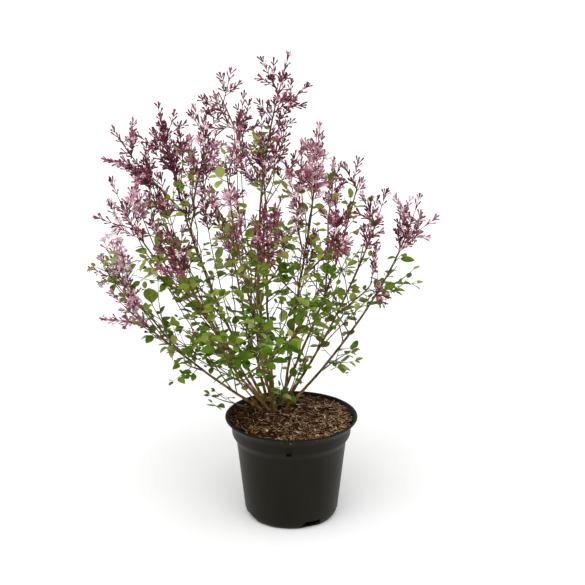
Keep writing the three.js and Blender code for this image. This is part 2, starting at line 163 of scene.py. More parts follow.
# How a mass of foliage grows: the share of its flowers that have opened, the share of its sprays that are
# still dark, how full its panicles are, and the share of its leaves that grow. Where the panicles would be
# emptier than THINNEST they keep that fullness, and some of the twigs bear leaves in place of flowers.
THINNEST = 0.6
Habit = namedtuple("Habit", "open dark flowers leaves", defaults=(0.15, 0.6, 0.8, 0.5))
HABITS = {
    "low_left": Habit(0.3, 0.1, 0.7, 0.2),
    "left": Habit(0.4, 0.2, 0.7, 0.36),
    "mid_left": Habit(0.04, 0.8, 0.72, 0.42),
    "high_left": Habit(0.35, 0.35, 0.62, 0.32),
    "shoulder_left": Habit(0.06, 0.65, 0.9, 0.2),
    "arm_left": Habit(flowers=0.6),
    "crest_left": Habit(0.25, 0.45, 0.68, 0.15),
    "front_left": Habit(0.3, 0.5, 0.52, 0.62),
    "front": Habit(0.03, 0.95, 0.85, 0.2),
    "top": Habit(0.08, 0.75, 0.7, 0.3),
    "top_left": Habit(0.08, 0.75, 0.36, 0.1),
    "crest_right": Habit(0.3, 0.35, 0.85, 0.38),
    "front_right": Habit(dark=0.75, leaves=0.26),
    "inner_right": Habit(flowers=0.5, leaves=0.22),
    "low_right": Habit(flowers=0.3, leaves=0.16),
    "far_right": Habit(leaves=0.36),
    "shoulder_right": Habit(dark=0.8, flowers=0.35, leaves=0.24),
    "back_right": Habit(0.4, 0.3, 0.6),
    "back": Habit(flowers=1.0, leaves=0.54),
    "back_left": Habit(0.35, 0.4, 0.42, 0.65),
    "low_back": Habit(flowers=0.4, leaves=0.69),
    "low_front": Habit(open=0.1, flowers=0.1, leaves=0.5),
    "low_front_right": Habit(0.02, 0.95, 0.05, 0.44),
    "middle": Habit(leaves=0.24),
    "left_back": Habit(leaves=0.42),
    "inner_left": Habit(leaves=0.46),
    "rim_left": Habit(leaves=0.22),
    "rim_right": Habit(leaves=0.2),
    "outer_right": Habit(leaves=0.18),
}

# Side stems that fill the gaps between the masses, each from a limb at a share of its length to a tip.
FLOWERING_SIDE_STEMS = [
    ("shoulder_left", 0.62, (-188, 80, 669)),
    ("shoulder_left", 0.66, (-212, 100, 635)),
    ("shoulder_left", 0.5, (-171, 70, 644)),
    ("crest_left", 0.2, (-162, 30, 655)),
    ("crest_left", 0.1, (-128, 70, 640)),
    ("top_left", 0.3, (-80, 80, 716)),
    ("high_left", 0.4, (-257, 30, 585)),
    ("high_left", 0.3, (-230, 0, 564)),
    ("mid_left", 0.5, (-216, 30, 589)),
    ("mid_left", 0.4, (-233, 20, 513)),
    ("arm_left", 0.1, (-254, 60, 532)),
    ("left", 0.4, (-281, 20, 483)),
    ("front_left", 0.5, (-92, 10, 561)),
    ("front_left", 0.4, (-15, -30, 569)),
    ("top", 0.55, (24, 60, 633)),
    ("crest_right", 0.6, (14, -20, 642)),
    ("crest_right", 0.55, (-2, -50, 613)),
    ("crest_right", 0.5, (11, -60, 570)),
    ("mid_left", 0.45, (-214, -20, 503)),
    ("top", 0.5, (-20, 20, 655)),
    ("top", 0.6, (-10, 90, 668)),
    ("crest_right", 0.6, (30, 0, 652)),
    ("inner_right", 0.6, (132, 60, 543)),
    ("front_right", 0.3, (77, 0, 497)),
]
LEAFY_SIDE_STEMS = [
    ("low_left", 0.5, (-219, 10, 413)),
    ("low_left", 0.6, (-320, 30, 449)),
    ("mid_left", 0.4, (-236, 20, 434)),
    ("low_left", 0.55, (-243, 0, 402)),
    ("shoulder_left", 0.3, (-240, 60, 433)),
    ("shoulder_left", 0.4, (-165, 30, 504)),
    ("front_left", 0.25, (-114, -30, 408)),
    ("top", 0.2, (-16, 30, 389)),
    ("crest_right", 0.3, (14, -90, 476)),
    ("crest_right", 0.18, (-19, -20, 391)),
    ("crest_right", 0.4, (34, -30, 506)),
    ("inner_right", 0.15, (19, -20, 324)),
    ("left", 0.4, (-326, 60, 447)),
    ("high_left", 0.3, (-253, -40, 532)),
    ("front_left", 0.2, (-74, -40, 370)),
    ("top", 0.12, (-86, 0, 310)),
]

# At the foot of the bush: stubs of cut stems, an elbow of old wood, and thin weak shoots.
STUBS = [  # foot, how it leans, radius
    ((-32, 31), (4, -3, 22), 3.2),
    ((-60, 58), (-9, 3, 15), 2.6),
    ((-8, 50), (5, -6, 18), 2.8),
]
ELBOW = [(-27, 30, 170), (-28, 31, 181), (-32, 33, 190), (-42, 36, 196), (-54, 38, 201), (-68, 39, 210)]
ELBOW_RADII = [4.0, 3.4, 3.1, 2.8, 2.4, 2.1]
WEAK_SHOOTS = [  # foot, and the way from it to the tip
    ((-50, 48), (-74, -10, 120)),
    ((-22, 40), (6, -24, 96)),
    ((-12, 66), (44, -4, 118)),
    ((-36, 70), (-20, 30, 140)),
    ((-24, 38), (4, -10, 34)),
    ((-34, 36), (-12, -6, 52)),
    ((-10, 54), (18, -8, 62)),
]

# --- Chance and vectors ---


class Chance:
    """Numbers between two limits that are always the same for the same seed."""

    def __init__(self, seed):
        self.state = 1000 + seed * 7919

    def __call__(self, low=0, high=1):
        self.state = (self.state * 1664525 + 1013904223) % 4294967296
        return mix(low, high, self.state / 4294967296)


def mix(low, high, share):
    return (1 - share) * low + share * high


def graded(grade, height):
    """A value that changes evenly between two levels."""
    share = (height - grade["from"]) / (grade["to"] - grade["from"])
    return mix(grade["low"], grade["high"], min(max(share, 0), 1))


def middles(count):
    """The middles of even stretches between 0 and 1."""
    return [(order + 0.5) / count for order in range(count)]


def unit(vector):
    return vector / np.linalg.norm(vector)


def turned(vector, axis, angle):
    """A vector turned about a unit axis."""
    along = axis * (axis @ vector) * (1 - cos(angle))
    return vector * cos(angle) + np.cross(axis, vector) * sin(angle) + along


def leaning(tangent, turn, angle):
    """A direction that leans away from a tangent by an angle, towards a turn around it."""
    across = turned(unit(np.cross(tangent, UP)), tangent, turn)
    return tangent * cos(angle) + across * sin(angle)


class Axis:
    """What growth stands on, with a point and a tangent at each place along it."""

    def at(self, place):
        return self.point(place), self.tangent(place)


class LimbCurve(Axis):
    """A limb leads from its foot to its tip, bulges outwards by its bow, and sways a little sideways."""

    def __init__(self, foot, tip, bow, index):
        self.foot = np.array(foot, float)
        self.tip = np.array(tip, float)
        outwards = unit((self.tip - self.foot) * (1, 1, 0))
        self.bulge = outwards * bow
        self.across = np.array([-outwards[1], outwards[0], 0.0])
        self.phase = 2.4 * index
        self.length = np.linalg.norm(np.diff(self.points(np.linspace(0, 1, 201)), axis=0), axis=1).sum()

    def points(self, shares):
        share = np.asarray(shares, float)[:, None]
        belly = 4 * share * (1 - share)
        sway = SWAY * belly * np.sin(SWAY_TURNS * share + self.phase)
        return mix(self.foot, self.tip, share) + self.bulge * belly + self.across * sway

    def point(self, share):
        return self.points([share])[0]

    def tangent(self, share):
        before, after = self.points([max(share - 1e-4, 0), min(share + 1e-4, 1)])
        return unit(after - before)

    def kinked(self, shares):
        """The points with the small step to alternate sides that a limb takes at each of its nodes."""
        shares = np.asarray(shares, float)
        steps = shares * self.length / NODE_GAP
        zigzag = 2 * np.abs((steps + 0.5) % 2 - 1) - 1
        fade = np.clip(np.minimum(shares, 1 - shares) * 12, 0, 1)
        return self.points(shares) + self.across * (KINK * zigzag * fade)[:, None]


class Sprig(Axis):
    """The axis of a twig or a spike, which sets off along its heading and curves upwards a little."""

    def __init__(self, root, heading, length, rise):
        self.root = root
        self.heading = heading
        self.length = length
        self.rise = rise

    def point(self, distance):
        share = distance / self.length
        return self.root + self.heading * distance + UP * (self.rise * self.length * share * share)

    def tangent(self, distance):
        return unit(self.heading + UP * (2 * self.rise * distance / self.length))

    def rod(self, foot_radius, tip_radius, stretches):
        shares = np.linspace(0, 1, stretches + 1)
        points = np.array([self.point(share * self.length) for share in shares])
        return points, mix(foot_radius, tip_radius, shares)


# --- The rule of growth ---


def rooted(limbs, start):
    """Where a limb or a shoot starts: on a limb at a share of its length, or in the soil."""
    if start[0] in limbs:
        return limbs[start[0]]["curve"].point(start[1])
    return np.array([*start, GROUND])


def limbs_grown():
    limbs = {}
    for index, (name, start, tip, bow, bare, leafy) in enumerate(LEADERS):
        size = BOUGH if start[0] in limbs else STEM
        curve = LimbCurve(rooted(limbs, start), tip, bow, index)
        limbs[name] = dict(name=name, index=index, curve=curve, size=size, bare=bare, leafy=leafy)
    return limbs


def limb_radius(limb, share):
    size = limb["size"]
    return mix(size["foot"], size["tip"], share) * (1 + size["flare"] * np.exp(-share / FLARE_LENGTH))


def masses_grown(limbs):
    """Every mass of foliage: the flowering ones at the ends of the limbs, and the leafy shoots."""
    masses = []
    for limb in limbs.values():
        start = limb["bare"] + CLEARANCE / limb["curve"].length
        end = 1 - BLOSSOM["length"] / limb["curve"].length
        masses.append(limb | TWIG | {"start": start, "end": end, "radius": limb_radius(limb, start)})
    for order, (name, start, bearing, length, rise) in enumerate(SHOOTS):
        bearing = radians(bearing)
        heading = unit(np.array([cos(bearing), sin(bearing), rise]))
        foot = rooted(limbs, start)
        curve = LimbCurve(foot, foot + heading * length, 0.08 * length, order)
        mass = {"name": name, "index": len(limbs) + order, "curve": curve, "leafy": 1}
        masses.append(SHOOT | mass | {"start": 0.0, "end": 1 - LEAF["length"] / curve.length})
    return masses


class Room:
    """The space that a mass keeps to: nearest to its own axis, clear of the limbs, the pot and the soil."""

    def __init__(self, masses, limbs):
        paths = [mass["curve"].points(np.linspace(max(mass["start"], 0.12), 1, 11)) for mass in masses]
        woods = [limb["curve"].points(np.linspace(0, limb["bare"], 11)) for limb in limbs.values()]
        self.axes = self.stretches(paths)
        self.woods = self.stretches(woods)
        self.owner = np.repeat(np.arange(len(paths)), 10)
        self.bark = np.repeat([limb_radius(limb, 0) + ROOM for limb in limbs.values()], 10)

    @staticmethod
    def stretches(paths):
        starts = np.concatenate([path[:-1] for path in paths])
        return starts, np.concatenate([path[1:] for path in paths]) - starts

    @staticmethod
    def distances(points, stretches):
        starts, spans = stretches
        offset = points[:, None] - starts
        share = np.clip((offset * spans).sum(2) / (spans * spans).sum(1), 0, 1)
        return np.linalg.norm(offset - share[..., None] * spans, axis=2)

    def clear(self, points, mass):
        """Whether all points lie in the mass's space."""
        distance = self.distances(points, self.axes)
        own = self.owner == mass["index"]
        near_other = distance[:, ~own].min(1) < distance[:, own].min(1) + ROOM
        near_wood = (self.distances(points, self.woods) < self.bark).any(1)
        over_pot = np.hypot(points[:, 0], points[:, 1]) < POT_LIP_RADIUS + ROOM
        high_enough = points[:, 2] > np.where(over_pot, POT_HEIGHT + ROOM, 0)
        return (~near_other & ~near_wood & high_enough).all()


def blade_look(chance):
    """Which way a leaf or spray of the CAD solids faces, and its size."""
    facing = np.array([chance(-0.4, 0.4), chance(-0.4, 0.4), 1.0])
    return facing, chance(0.82, 1.1)


def blade(root, heading, facing, size, kind):
    """A leaf or a spray of blossom of the CAD solids: where it stands, and the points that need room."""
    length = size * kind["length"]
    side = unit(np.cross(heading, facing)) * (size * kind["width"] / 2)
    middle = root + heading * (kind["widest_at"] * length)
    tip = root + heading * length
    points = [tip, middle + side, middle - side, middle]
    points += [mix(middle, tip, 0.5), mix(middle, root - ROOT_DEPTH * heading, 0.4)]
    return {"root": root, "heading": heading, "length": length, "points": np.array(points)}


def twig_grown(room, mass, root, heading, length, kind, chance):
    """One twig of the CAD solids, which ends in a leaf or a spray and bears more to its sides."""
    for reach in (1, 0.72, 0.5):
        facing, size = blade_look(chance)
        stalk = max(reach * length - size * kind["length"], 6)
        end = blade(root + heading * stalk, heading, facing, size, kind)
        if room.clear(np.vstack([end["points"], root + heading * (0.6 * stalk)]), mass):
            turn = chance(0, pi)
            sides = []
            for aside, share in zip(OPPOSITE, (0.5, 0.85)):
                outwards = leaning(heading, turn + aside, radians(kind["lean"]))
                side = blade(root + heading * (share * stalk), outwards, *blade_look(chance), kind)
                if room.clear(side["points"], mass):
                    sides.append(side)
            return dict(root=root, heading=heading, stalk=stalk, end=end, sides=sides, kind=kind)
    return None


def twigs_grown(room, mass):
    """Opposite twigs at even steps up a mass's stem, each pair a quarter turn from the last."""
    curve, start, end = mass["curve"], mass["start"], mass["end"]
    chance = Chance(mass["index"])
    count = 2 * max(2, int(curve.length * (end - start) / mass["spacing"] + 0.5))
    twigs = []
    for order in range(count):
        height = (order + 0.6) / (count + 0.4)
        kind = BLOSSOM if height > mass["leafy"] else LEAF
        point, tangent = curve.at(mix(start, end, height))
        turn = order // 2 * pi / 2 + order % 2 * pi + chance(-0.4, 0.4)
        lean = radians(TWIG["lean"] * chance(0.85, 1.15))
        length = mix(mass["longest"], TWIG["shortest"], height) * chance(0.8, 1.05)
        twig = twig_grown(room, mass, point, leaning(tangent, turn, lean), length, kind, chance)
        if twig:
            twigs.append(twig | {"height": height})
    return twigs


# --- The finer growth on it ---


class Growth:
    """All that grows: rods of wood and stalk, and the places of leaves, buds and flowers by their tint."""

    def __init__(self):
        self.rods = defaultdict(list)
        self.places = defaultdict(list)

    def rod(self, tint, points, radii):
        self.rods[tint].append((points, radii))

    def leaf(self, look, point, heading, size, chance):
        """A leaf that spreads nearly level, its face tilted a little from straight up."""
        level = unit(heading * (1, 1, LEAF_RISE))
        facing = np.array([chance(-0.5, 0.5), chance(-0.7, 0.3), 1.0])
        if chance() < look["share"]:
            self.places[look["tint"]].append((point, level, facing, size))

    def leaf_pair(self, look, point, tangent, turn, size, chance, lean=62):
        for side in OPPOSITE:
            angle = radians(lean * chance(0.8, 1.2))
            heading = leaning(tangent, turn + side + chance(-0.25, 0.25), angle)
            self.leaf(look, point, heading, size * chance(0.62, 1.15), chance)

    def leafy_twig(self, look, root, heading, length, size, chance):
        """A twig with opposite leaves at its nodes and a small tuft of them at its end.

        Where few leaves grow, some twigs are missing as well, so that none is left quite bare.
        """
        kept = min(look["share"] + 0.2, 1)
        if chance() > kept:
            return
        look = look | {"share": look["share"] / kept}
        sprig = Sprig(root, heading, length, 0.08)
        self.rod("green_shoots", *sprig.rod(0.9, 0.45, 4))
        pairs = max(1, round((length - 6) / LEAF_GAP))
        turn = chance(0, pi)
        for order, share in enumerate(middles(pairs)):
            pair_size = size * mix(1.05, 0.8, order / pairs)
            self.leaf_pair(look, *sprig.at(mix(0.22, 0.93, share) * length), turn, pair_size, chance)
            turn += pi / 2
        look = look | {"share": max(look["share"], 0.8)}
        self.leaf_pair(look, *sprig.at(length), turn, 0.72 * size, chance, lean=34)

    def flower(self, point, tangent, turn, angle, spray, chance):
        facing = np.array([chance(-1, 1), chance(-1, 1), 1.0])
        size = chance(0.82, 1.12)
        kind = "other_buds" if chance() < 0.32 else "buds"
        if chance() < spray["open"]:
            kind = "petals"
        self.places[spray[kind]].append((point, leaning(tangent, turn, angle), facing, size))

    def spike(self, root, heading, length, spray, chance):
        """A slender stalk with flowers in opposite pairs and a fan of four at its tip."""
        sprig = Sprig(root, heading, max(length - BUD_LENGTH * 0.9, 4), 0.1)
        self.rod("flower_stalks", *sprig.rod(0.75, 0.45, 2))
        turn = chance(0, pi)
        distance = max(3.0, 0.4 * sprig.length)
        while distance < sprig.length - 2:
            for side in OPPOSITE:
                for order in range(1 + (chance() < TWIN_FLOWERS)):
                    angle = radians(chance(20, 42))
                    spin = turn + side + (order - 0.5) * 0.9 + chance(-0.3, 0.3)
                    self.flower(*sprig.at(distance), spin, angle, spray, chance)
            turn += pi / 2
            distance += FLOWER_GAP * chance(0.8, 1.2)
        for order in range(4):
            angle = radians(4 if order == 0 else chance(19, 38))
            self.flower(*sprig.at(sprig.length), turn + 2.1 * order, angle, spray, chance)

    def panicle(self, axis, places, longest, shortest, spray, chance):
        """Pairs of side spikes at places on an axis, shorter towards its end."""
        turn = chance(0, pi)
        for place, share in zip(places, middles(len(places))):
            point, tangent = axis.at(place)
            for side in OPPOSITE:
                heading = leaning(tangent, turn + side, radians(chance(34, 56)))
                length = mix(longest, shortest, share) * chance(0.7, 1.1)
                if chance() < spray["share"]:
                    self.spike(point, heading, length, spray, chance)
            turn += pi / 2 + chance(-0.2, 0.2)

    def flowering_twig(self, root, heading, length, longest, spray, chance):
        """A twig whose side spikes stand in pairs from low on it to its end."""
        sprig = Sprig(root, heading, length, 0.04)
        self.rod("flower_stalks", *sprig.rod(1.05, 0.7, 3))
        first = min(12, 0.4 * length)
        nodes = max(1, round((length - first) / SPIKE_GAP))
        distances = [mix(first, length, share) for share in middles(nodes)]
        self.panicle(sprig, distances, longest, 0.5 * longest, spray, chance)


def habit(mass):
    return HABITS.get(mass["name"], Habit())


def spray_look(mass, chance):
    """The tints, openness and fullness of one spray, dealt out by its mass."""
    opened = habit(mass).open * chance(0.3, 1.6)
    buds, others = "buds_wine", "buds_rose"
    if chance() > habit(mass).dark:
        buds, others = "buds_rose", "buds_mauve" if chance() < 0.5 else "buds_wine"
        if chance() < 0.35:
            buds, others = "buds_mauve", "buds_rose"
    petals = "petals_pale" if chance() < 0.6 else "petals_lilac"
    share = max(habit(mass).flowers, THINNEST)
    return {"share": share, "open": opened, "buds": buds, "other_buds": others, "petals": petals}


def blooms(mass, height, chance):
    """Whether a twig at a share of its mass's height flowers: seldom low on it, where leaves take over."""
    above_leaves = (height - mass["leafy"]) / 0.25
    return chance() < min(habit(mass).flowers / THINNEST, 0.4 + above_leaves)


def leaf_look(mass, height, chance):
    """Leaves are deeper green low in the crown and fresher higher up, and a few young ones are flushed."""
    draw = chance()
    tint = "leaves_green" if draw < NOT_FRESH else "leaves_fresh"
    if draw < FLUSHED and height > LOWEST_FLUSH:
        tint = "leaves_flushed"
    elif draw < graded(DEEP, height):
        tint = "leaves_deep"
    return {"tint": tint, "share": habit(mass).leaves * graded(THINNING, height)}


def grow_wood(growth, limb, curve, end, radii_at, chance):
    """The wood of a limb up to a share of its curve, swollen at its nodes, which bear leaves and spurs."""
    count = max(6, round(curve.length * end / WOOD_STEP))
    shares = np.linspace(0, end, count)
    points = curve.kinked(shares)
    to_node = np.abs((shares * curve.length / NODE_GAP + 0.5) % 1 - 0.5) * NODE_GAP
    radii = LIVING_GIRTH * radii_at(shares) * (1 + NODE_SWELLING * np.exp(-((to_node / NODE_LENGTH) ** 2)))
    old = int((points[:, 2] < OLD_WOOD_TOP).sum())
    if old > 2:
        growth.rod("old_wood", points[:old], radii[:old])
    if count - old > 1:
        growth.rod("young_wood", points[max(old - 1, 0) :], radii[max(old - 1, 0) :])
    for node in range(1, int((end - 0.02) * curve.length / NODE_GAP) + 1):
        share = node * NODE_GAP / curve.length
        point = curve.kinked([share])[0]
        if chance() < (point[2] - LOWEST_LEAF) / LEAFY_RISE:
            look = leaf_look(limb, point[2], chance)
            grow_spurs(growth, look, point, curve.tangent(share), node * pi / 2 + curve.phase, chance)


def grow_spurs(growth, look, point, tangent, turn, chance):
    """Either a pair of leaves or short leafy spurs at one node of a limb."""
    for side in OPPOSITE:
        draw = chance()
        heading = leaning(tangent, turn + side + chance(-0.4, 0.4), radians(chance(38, 62)))
        if draw < 0.5:
            growth.leafy_twig(look, point, heading, chance(12, 38), chance(0.7, 0.95), chance)
        elif draw < 0.88:
            size = chance(0.7, 1.15)
            if chance() < LARGE_LEAF["chance"]:
                size *= LARGE_LEAF["size"]
            growth.leaf(look, point, heading, size, chance)


def grow_mass(growth, room, mass):
    """The stem of one mass and the leaves and panicles that its twigs and its end carry."""
    curve, start, end, index = mass["curve"], mass["start"], mass["end"], mass["index"]
    shares = np.linspace(0, 1, max(4, round(curve.length * (end - start) / (2 * WOOD_STEP))))
    growth.rod("young_wood", curve.points(mix(start, end, shares)), mix(mass["radius"], 0.95, shares))
    for order, twig in enumerate(twigs_grown(room, mass)):
        chance = Chance(SEEDS["twig"] + 40 * index + order)
        if twig["kind"] is BLOSSOM and blooms(mass, twig["height"], chance):
            grow_flowering(growth, mass, twig, chance)
        else:
            grow_leafy(growth, mass, twig, chance)
    chance = Chance(SEEDS["mass"] + index)
    grow_twiglets(growth, room, mass, chance)
    if mass["leafy"] < 1 and blooms(mass, 1, chance):
        length = min(PANICLE["length"], curve.length * (end - start) * (1 - mass["leafy"]))
        grow_head(growth, curve, end, PANICLE | {"length": length}, spray_look(mass, chance), chance)
    else:
        look = leaf_look(mass, curve.point(end)[2], chance)
        growth.leafy_twig(look, *curve.at(end), 0.7 * LEAF["length"], 0.9, chance)
    grow_stem_leaves(growth, mass, chance)


def grow_leafy(growth, mass, twig, chance):
    look = leaf_look(mass, twig["root"][2], chance)
    length = twig["stalk"] + 0.6 * twig["end"]["length"]
    growth.leafy_twig(look, twig["root"], twig["heading"], length, chance(0.8, 1.1), chance)
    for side in twig["sides"]:
        growth.leafy_twig(look, side["root"], side["heading"], 0.62 * side["length"], 0.8, chance)


def grow_flowering(growth, mass, twig, chance):
    spray = spray_look(mass, chance)
    growth.flowering_twig(twig["root"], twig["heading"], twig["stalk"], TWIG_SPIKE, spray, chance)
    for blossom in (twig["end"], *twig["sides"]):
        growth.spike(blossom["root"], blossom["heading"], blossom["length"], spray, chance)


def grow_twiglets(growth, room, mass, chance):
    """Shorter twigs between the twigs of the CAD solids, wherever the mass has room for them."""
    curve, start, end, spike = mass["curve"], mass["start"], mass["end"], TWIGLET["spike"]
    count = round(curve.length * (end - start) / TWIGLET["gap"] * habit(mass).flowers)
    for order, height in enumerate(middles(count)):
        root, tangent = curve.at(mix(start, end, height))
        lean = radians(TWIGLET["lean"] * chance(0.8, 1.15))
        heading = leaning(tangent, 2.4 * order + chance(-0.3, 0.3), lean)
        length = mix(TWIGLET["longest"], TWIGLET["shortest"], height) * chance(0.7, 1.1)
        if not room.clear(root + heading * length * np.array([[0.5], [1.0]]), mass):
            continue
        if height > mass["leafy"] and blooms(mass, height, chance):
            spray = spray_look(mass, chance)
            growth.flowering_twig(root, heading, length - spike, spike, spray, chance)
            growth.spike(root + heading * (length - spike), heading, spike, spray, chance)
        else:
            growth.leafy_twig(leaf_look(mass, root[2], chance), root, heading, 0.8 * length, 0.9, chance)


def grow_head(growth, curve, end, size, spray, chance):
    """The panicle on the last stretch of a curve: side spikes up to its end, and one spike from there on."""
    growth.spike(*curve.at(end), (1 - end) * curve.length, spray, chance)
    nodes = max(2, round(size["length"] / SPIKE_GAP))
    shares = [end - size["length"] / curve.length * (1 - share) for share in middles(nodes)]
    growth.panicle(curve, shares, size["spike"], 0.45 * size["spike"], spray, chance)


def grow_stem_leaves(growth, mass, chance):
    """Leaf pairs at the nodes of the leafy part of a mass's stem."""
    curve, start = mass["curve"], mass["start"]
    top = mix(start, mass["end"], min(mass["leafy"] + 0.15, 1))
    for node in range(int(curve.length * (top - start) / NODE_GAP)):
        point, tangent = curve.at(start + (node + 0.5) * NODE_GAP / curve.length)
        if point[2] > GROUND + 12:
            growth.leaf_pair(leaf_look(mass, point[2], chance), point, tangent, node * 1.7, 0.9, chance)


def grow_side_stem(growth, limb, share, tip, flowers, index, chance):
    """A thin stem from a share of a limb to a tip that bears flowers or leaves."""
    curve = LimbCurve(limb["curve"].point(share), tip, chance(-6, 16), index)
    end = 1 - SIDE_STEM["end"] / curve.length
    radii_at = functools.partial(mix, SIDE_STEM["foot"], SIDE_STEM["tip"])
    grow_wood(growth, limb, curve, end, radii_at, chance)
    if flowers:
        grow_head(growth, curve, end, SIDE_PANICLE, spray_look(limb, chance), chance)
    else:
        growth.leafy_twig(leaf_look(limb, curve.tip[2], chance), *curve.at(end), 24, 0.85, chance)


def grow_side_stems(growth, limbs, masses):
    """The side stems that fill gaps, and three from low on each stem to the masses of its neighbours."""
    for first, flowers, rows in ((100, True, FLOWERING_SIDE_STEMS), (140, False, LEAFY_SIDE_STEMS)):
        for index, (name, share, tip) in enumerate(rows, first):
            chance = Chance(SEEDS["side_stem"] + index)
            grow_side_stem(growth, limbs[name], share, tip, flowers, index, chance)
    for limb in (limb for limb in limbs.values() if limb["size"] is STEM):
        chance = Chance(SEEDS["link"] + limb["index"])
        for order in (1, 2, 3):
            goal = masses[(limb["index"] + order) % len(limbs)]
            aside = np.array([chance(-22, 22), chance(-22, 22), 0.0])
            tip = goal["curve"].point(mix(goal["start"], goal["end"], chance(0.05, 0.55))) + aside
            index = 40 + 3 * limb["index"] + order
            grow_side_stem(growth, limb, chance(0.1, 0.4), tip, tip[2] > LOWEST_FLOWER, index, chance)


def grow_base(growth):
    """What stands at the foot of the bush among its stems."""
    chance = Chance(SEEDS["base"])
    for foot, lean, radius in STUBS:
        points = np.array([*foot, GROUND - 3.0]) + np.linspace(0, 1, 5)[:, None] * np.array(lean)
        growth.rod("old_wood", points, radius * np.array([1.3, 1.05, 1, 1, 0.95]))
    growth.rod("old_wood", np.array(ELBOW, float), np.array(ELBOW_RADII))
    for place, reach in WEAK_SHOOTS:
        foot = np.array([*place, GROUND - 2.0])
        curve = LimbCurve(foot, foot + np.array(reach), chance(-6, 10), place[0])
        shares = np.linspace(0, 1, 14)
        growth.rod("young_wood", curve.kinked(shares), mix(1.3, 0.7, shares))
        look = leaf_look({"name": "weak"}, curve.tip[2], chance)
        for share in np.arange(0.35, 1, 18 / curve.length):
            growth.leaf_pair(look, *curve.at(share), 5 * share, 0.85, chance)
        growth.leafy_twig(look, *curve.at(1), 20, 0.8, chance)


@functools.lru_cache(maxsize=1)
def grown():
    """The whole bush, worked out once."""
    growth = Growth()
    limbs = limbs_grown()
    masses = masses_grown(limbs)
    room = Room(masses, limbs)
    for limb in limbs.values():
        radii_at = functools.partial(limb_radius, limb)
        grow_wood(growth, limb, limb["curve"], limb["bare"], radii_at, Chance(SEEDS["limb"] + limb["index"]))
    for mass in masses:
        grow_mass(growth, room, mass)
    grow_side_stems(growth, limbs, masses)
    grow_base(growth)
    return growth


# --- Meshes and node trees ---


def link(name, data):
    piece = bpy.data.objects.new(name, data)
    bpy.context.scene.collection.objects.link(piece)
    return piece


def mesh_of(name, points, faces=(), edges=()):
    mesh = bpy.data.meshes.new(name)
    mesh.from_pydata([tuple(point) for point in points], edges, faces)
    mesh.update()
    return mesh


def mark(mesh, name, kind, values):
    """Stores a value for each point of a mesh."""
    numbers = np.array(values, np.int32 if kind == "INT" else np.float32)
    mesh.attributes.new(name, kind, "POINT").data.foreach_set("value", numbers.ravel())


def evaluated(piece, name):
    """A new mesh of a piece with its modifiers applied."""
    graph = bpy.context.evaluated_depsgraph_get()
    mesh = bpy.data.meshes.new_from_object(piece.evaluated_get(graph))
    mesh.name = name
    return mesh


def closed(mesh):
    """The mesh with its doubles merged and every face outwards."""
    draft = bmesh.new()
    draft.from_mesh(mesh)
    bmesh.ops.remove_doubles(draft, verts=draft.verts, dist=1e-7)
    bmesh.ops.dissolve_degenerate(draft, edges=draft.edges, dist=1e-8)
    bmesh.ops.recalc_face_normals(draft, faces=draft.faces)
    draft.to_mesh(mesh)
    draft.free()
    return mesh


def turned_mesh(name, outline, sides, flatten=1.0, curl=0.0):
    """A closed lathe shape round Z from (radius, height) rows in metres, with a pole where a radius is 0."""
    points, rings, faces = [], [], []
    for radius, height in outline:
        count = sides if radius > 0 else 1
        rings.append([len(points) + side % count for side in range(sides)])
        for side in range(count):
            angle = 2 * pi * side / sides
            bend = curl * height * height
            points.append((radius * cos(angle) + bend, flatten * radius * sin(angle), height))
    for low, high in zip(rings, rings[1:]):
        for side in range(sides):
            after = (side + 1) % sides
            faces.append(tuple(dict.fromkeys((low[side], low[after], high[after], high[side]))))
    return mesh_of(name, points, faces)


def turned_shape(name, rows, sides, flatten=1.0, curl=0.0):
    """A lathe shape from rows in millimetres, as an object."""
    outline = [(radius * MM, height * MM) for radius, height in rows]
    return link(name, closed(turned_mesh(name, outline, sides, flatten, curl)))


def prism_faces(first, count):
    """The faces of a prism whose two outlines follow each other from a first point on."""
    second = first + count
    faces = []
    for corner in range(count):
        after = (corner + 1) % count
        faces.append((first + corner, second + corner, second + after, first + after))
    return [*faces, tuple(range(first, second)), tuple(range(second + count - 1, second - 1, -1))]


def add(tree, kind, inputs=(), **settings):
    """A new node with its settings, and its inputs set to values or linked from nodes or sockets."""
    node = tree.nodes.new(kind)
    for name, value in settings.items():
        setattr(node, name, value)
    for key, value in dict(inputs).items():
        source = value.outputs[0] if isinstance(value, bpy.types.Node) else value
        if isinstance(source, bpy.types.NodeSocket):
            tree.links.new(source, node.inputs[key])
        else:
            node.inputs[key].default_value = source
    return node


def geometry_tree(name, sockets):
    """An empty node tree with a geometry input, inputs of the named kinds, and a geometry output."""
    tree = bpy.data.node_groups.new(name, "GeometryNodeTree")
    for label, kind in {"Geometry": "Geometry", **sockets, "Material": "Material"}.items():
        tree.interface.new_socket(label, in_out="INPUT", socket_type="NodeSocket" + kind)
    tree.interface.new_socket("Geometry", in_out="OUTPUT", socket_type="NodeSocketGeometry")
    return tree, tree.nodes.new("NodeGroupInput").outputs


def finish_tree(tree, geometry, material):
    realized = add(tree, "GeometryNodeRealizeInstances", {"Geometry": geometry})
    painted = add(tree, "GeometryNodeSetMaterial", {"Geometry": realized, "Material": material})
    add(tree, "NodeGroupOutput", {"Geometry": painted})
    return tree


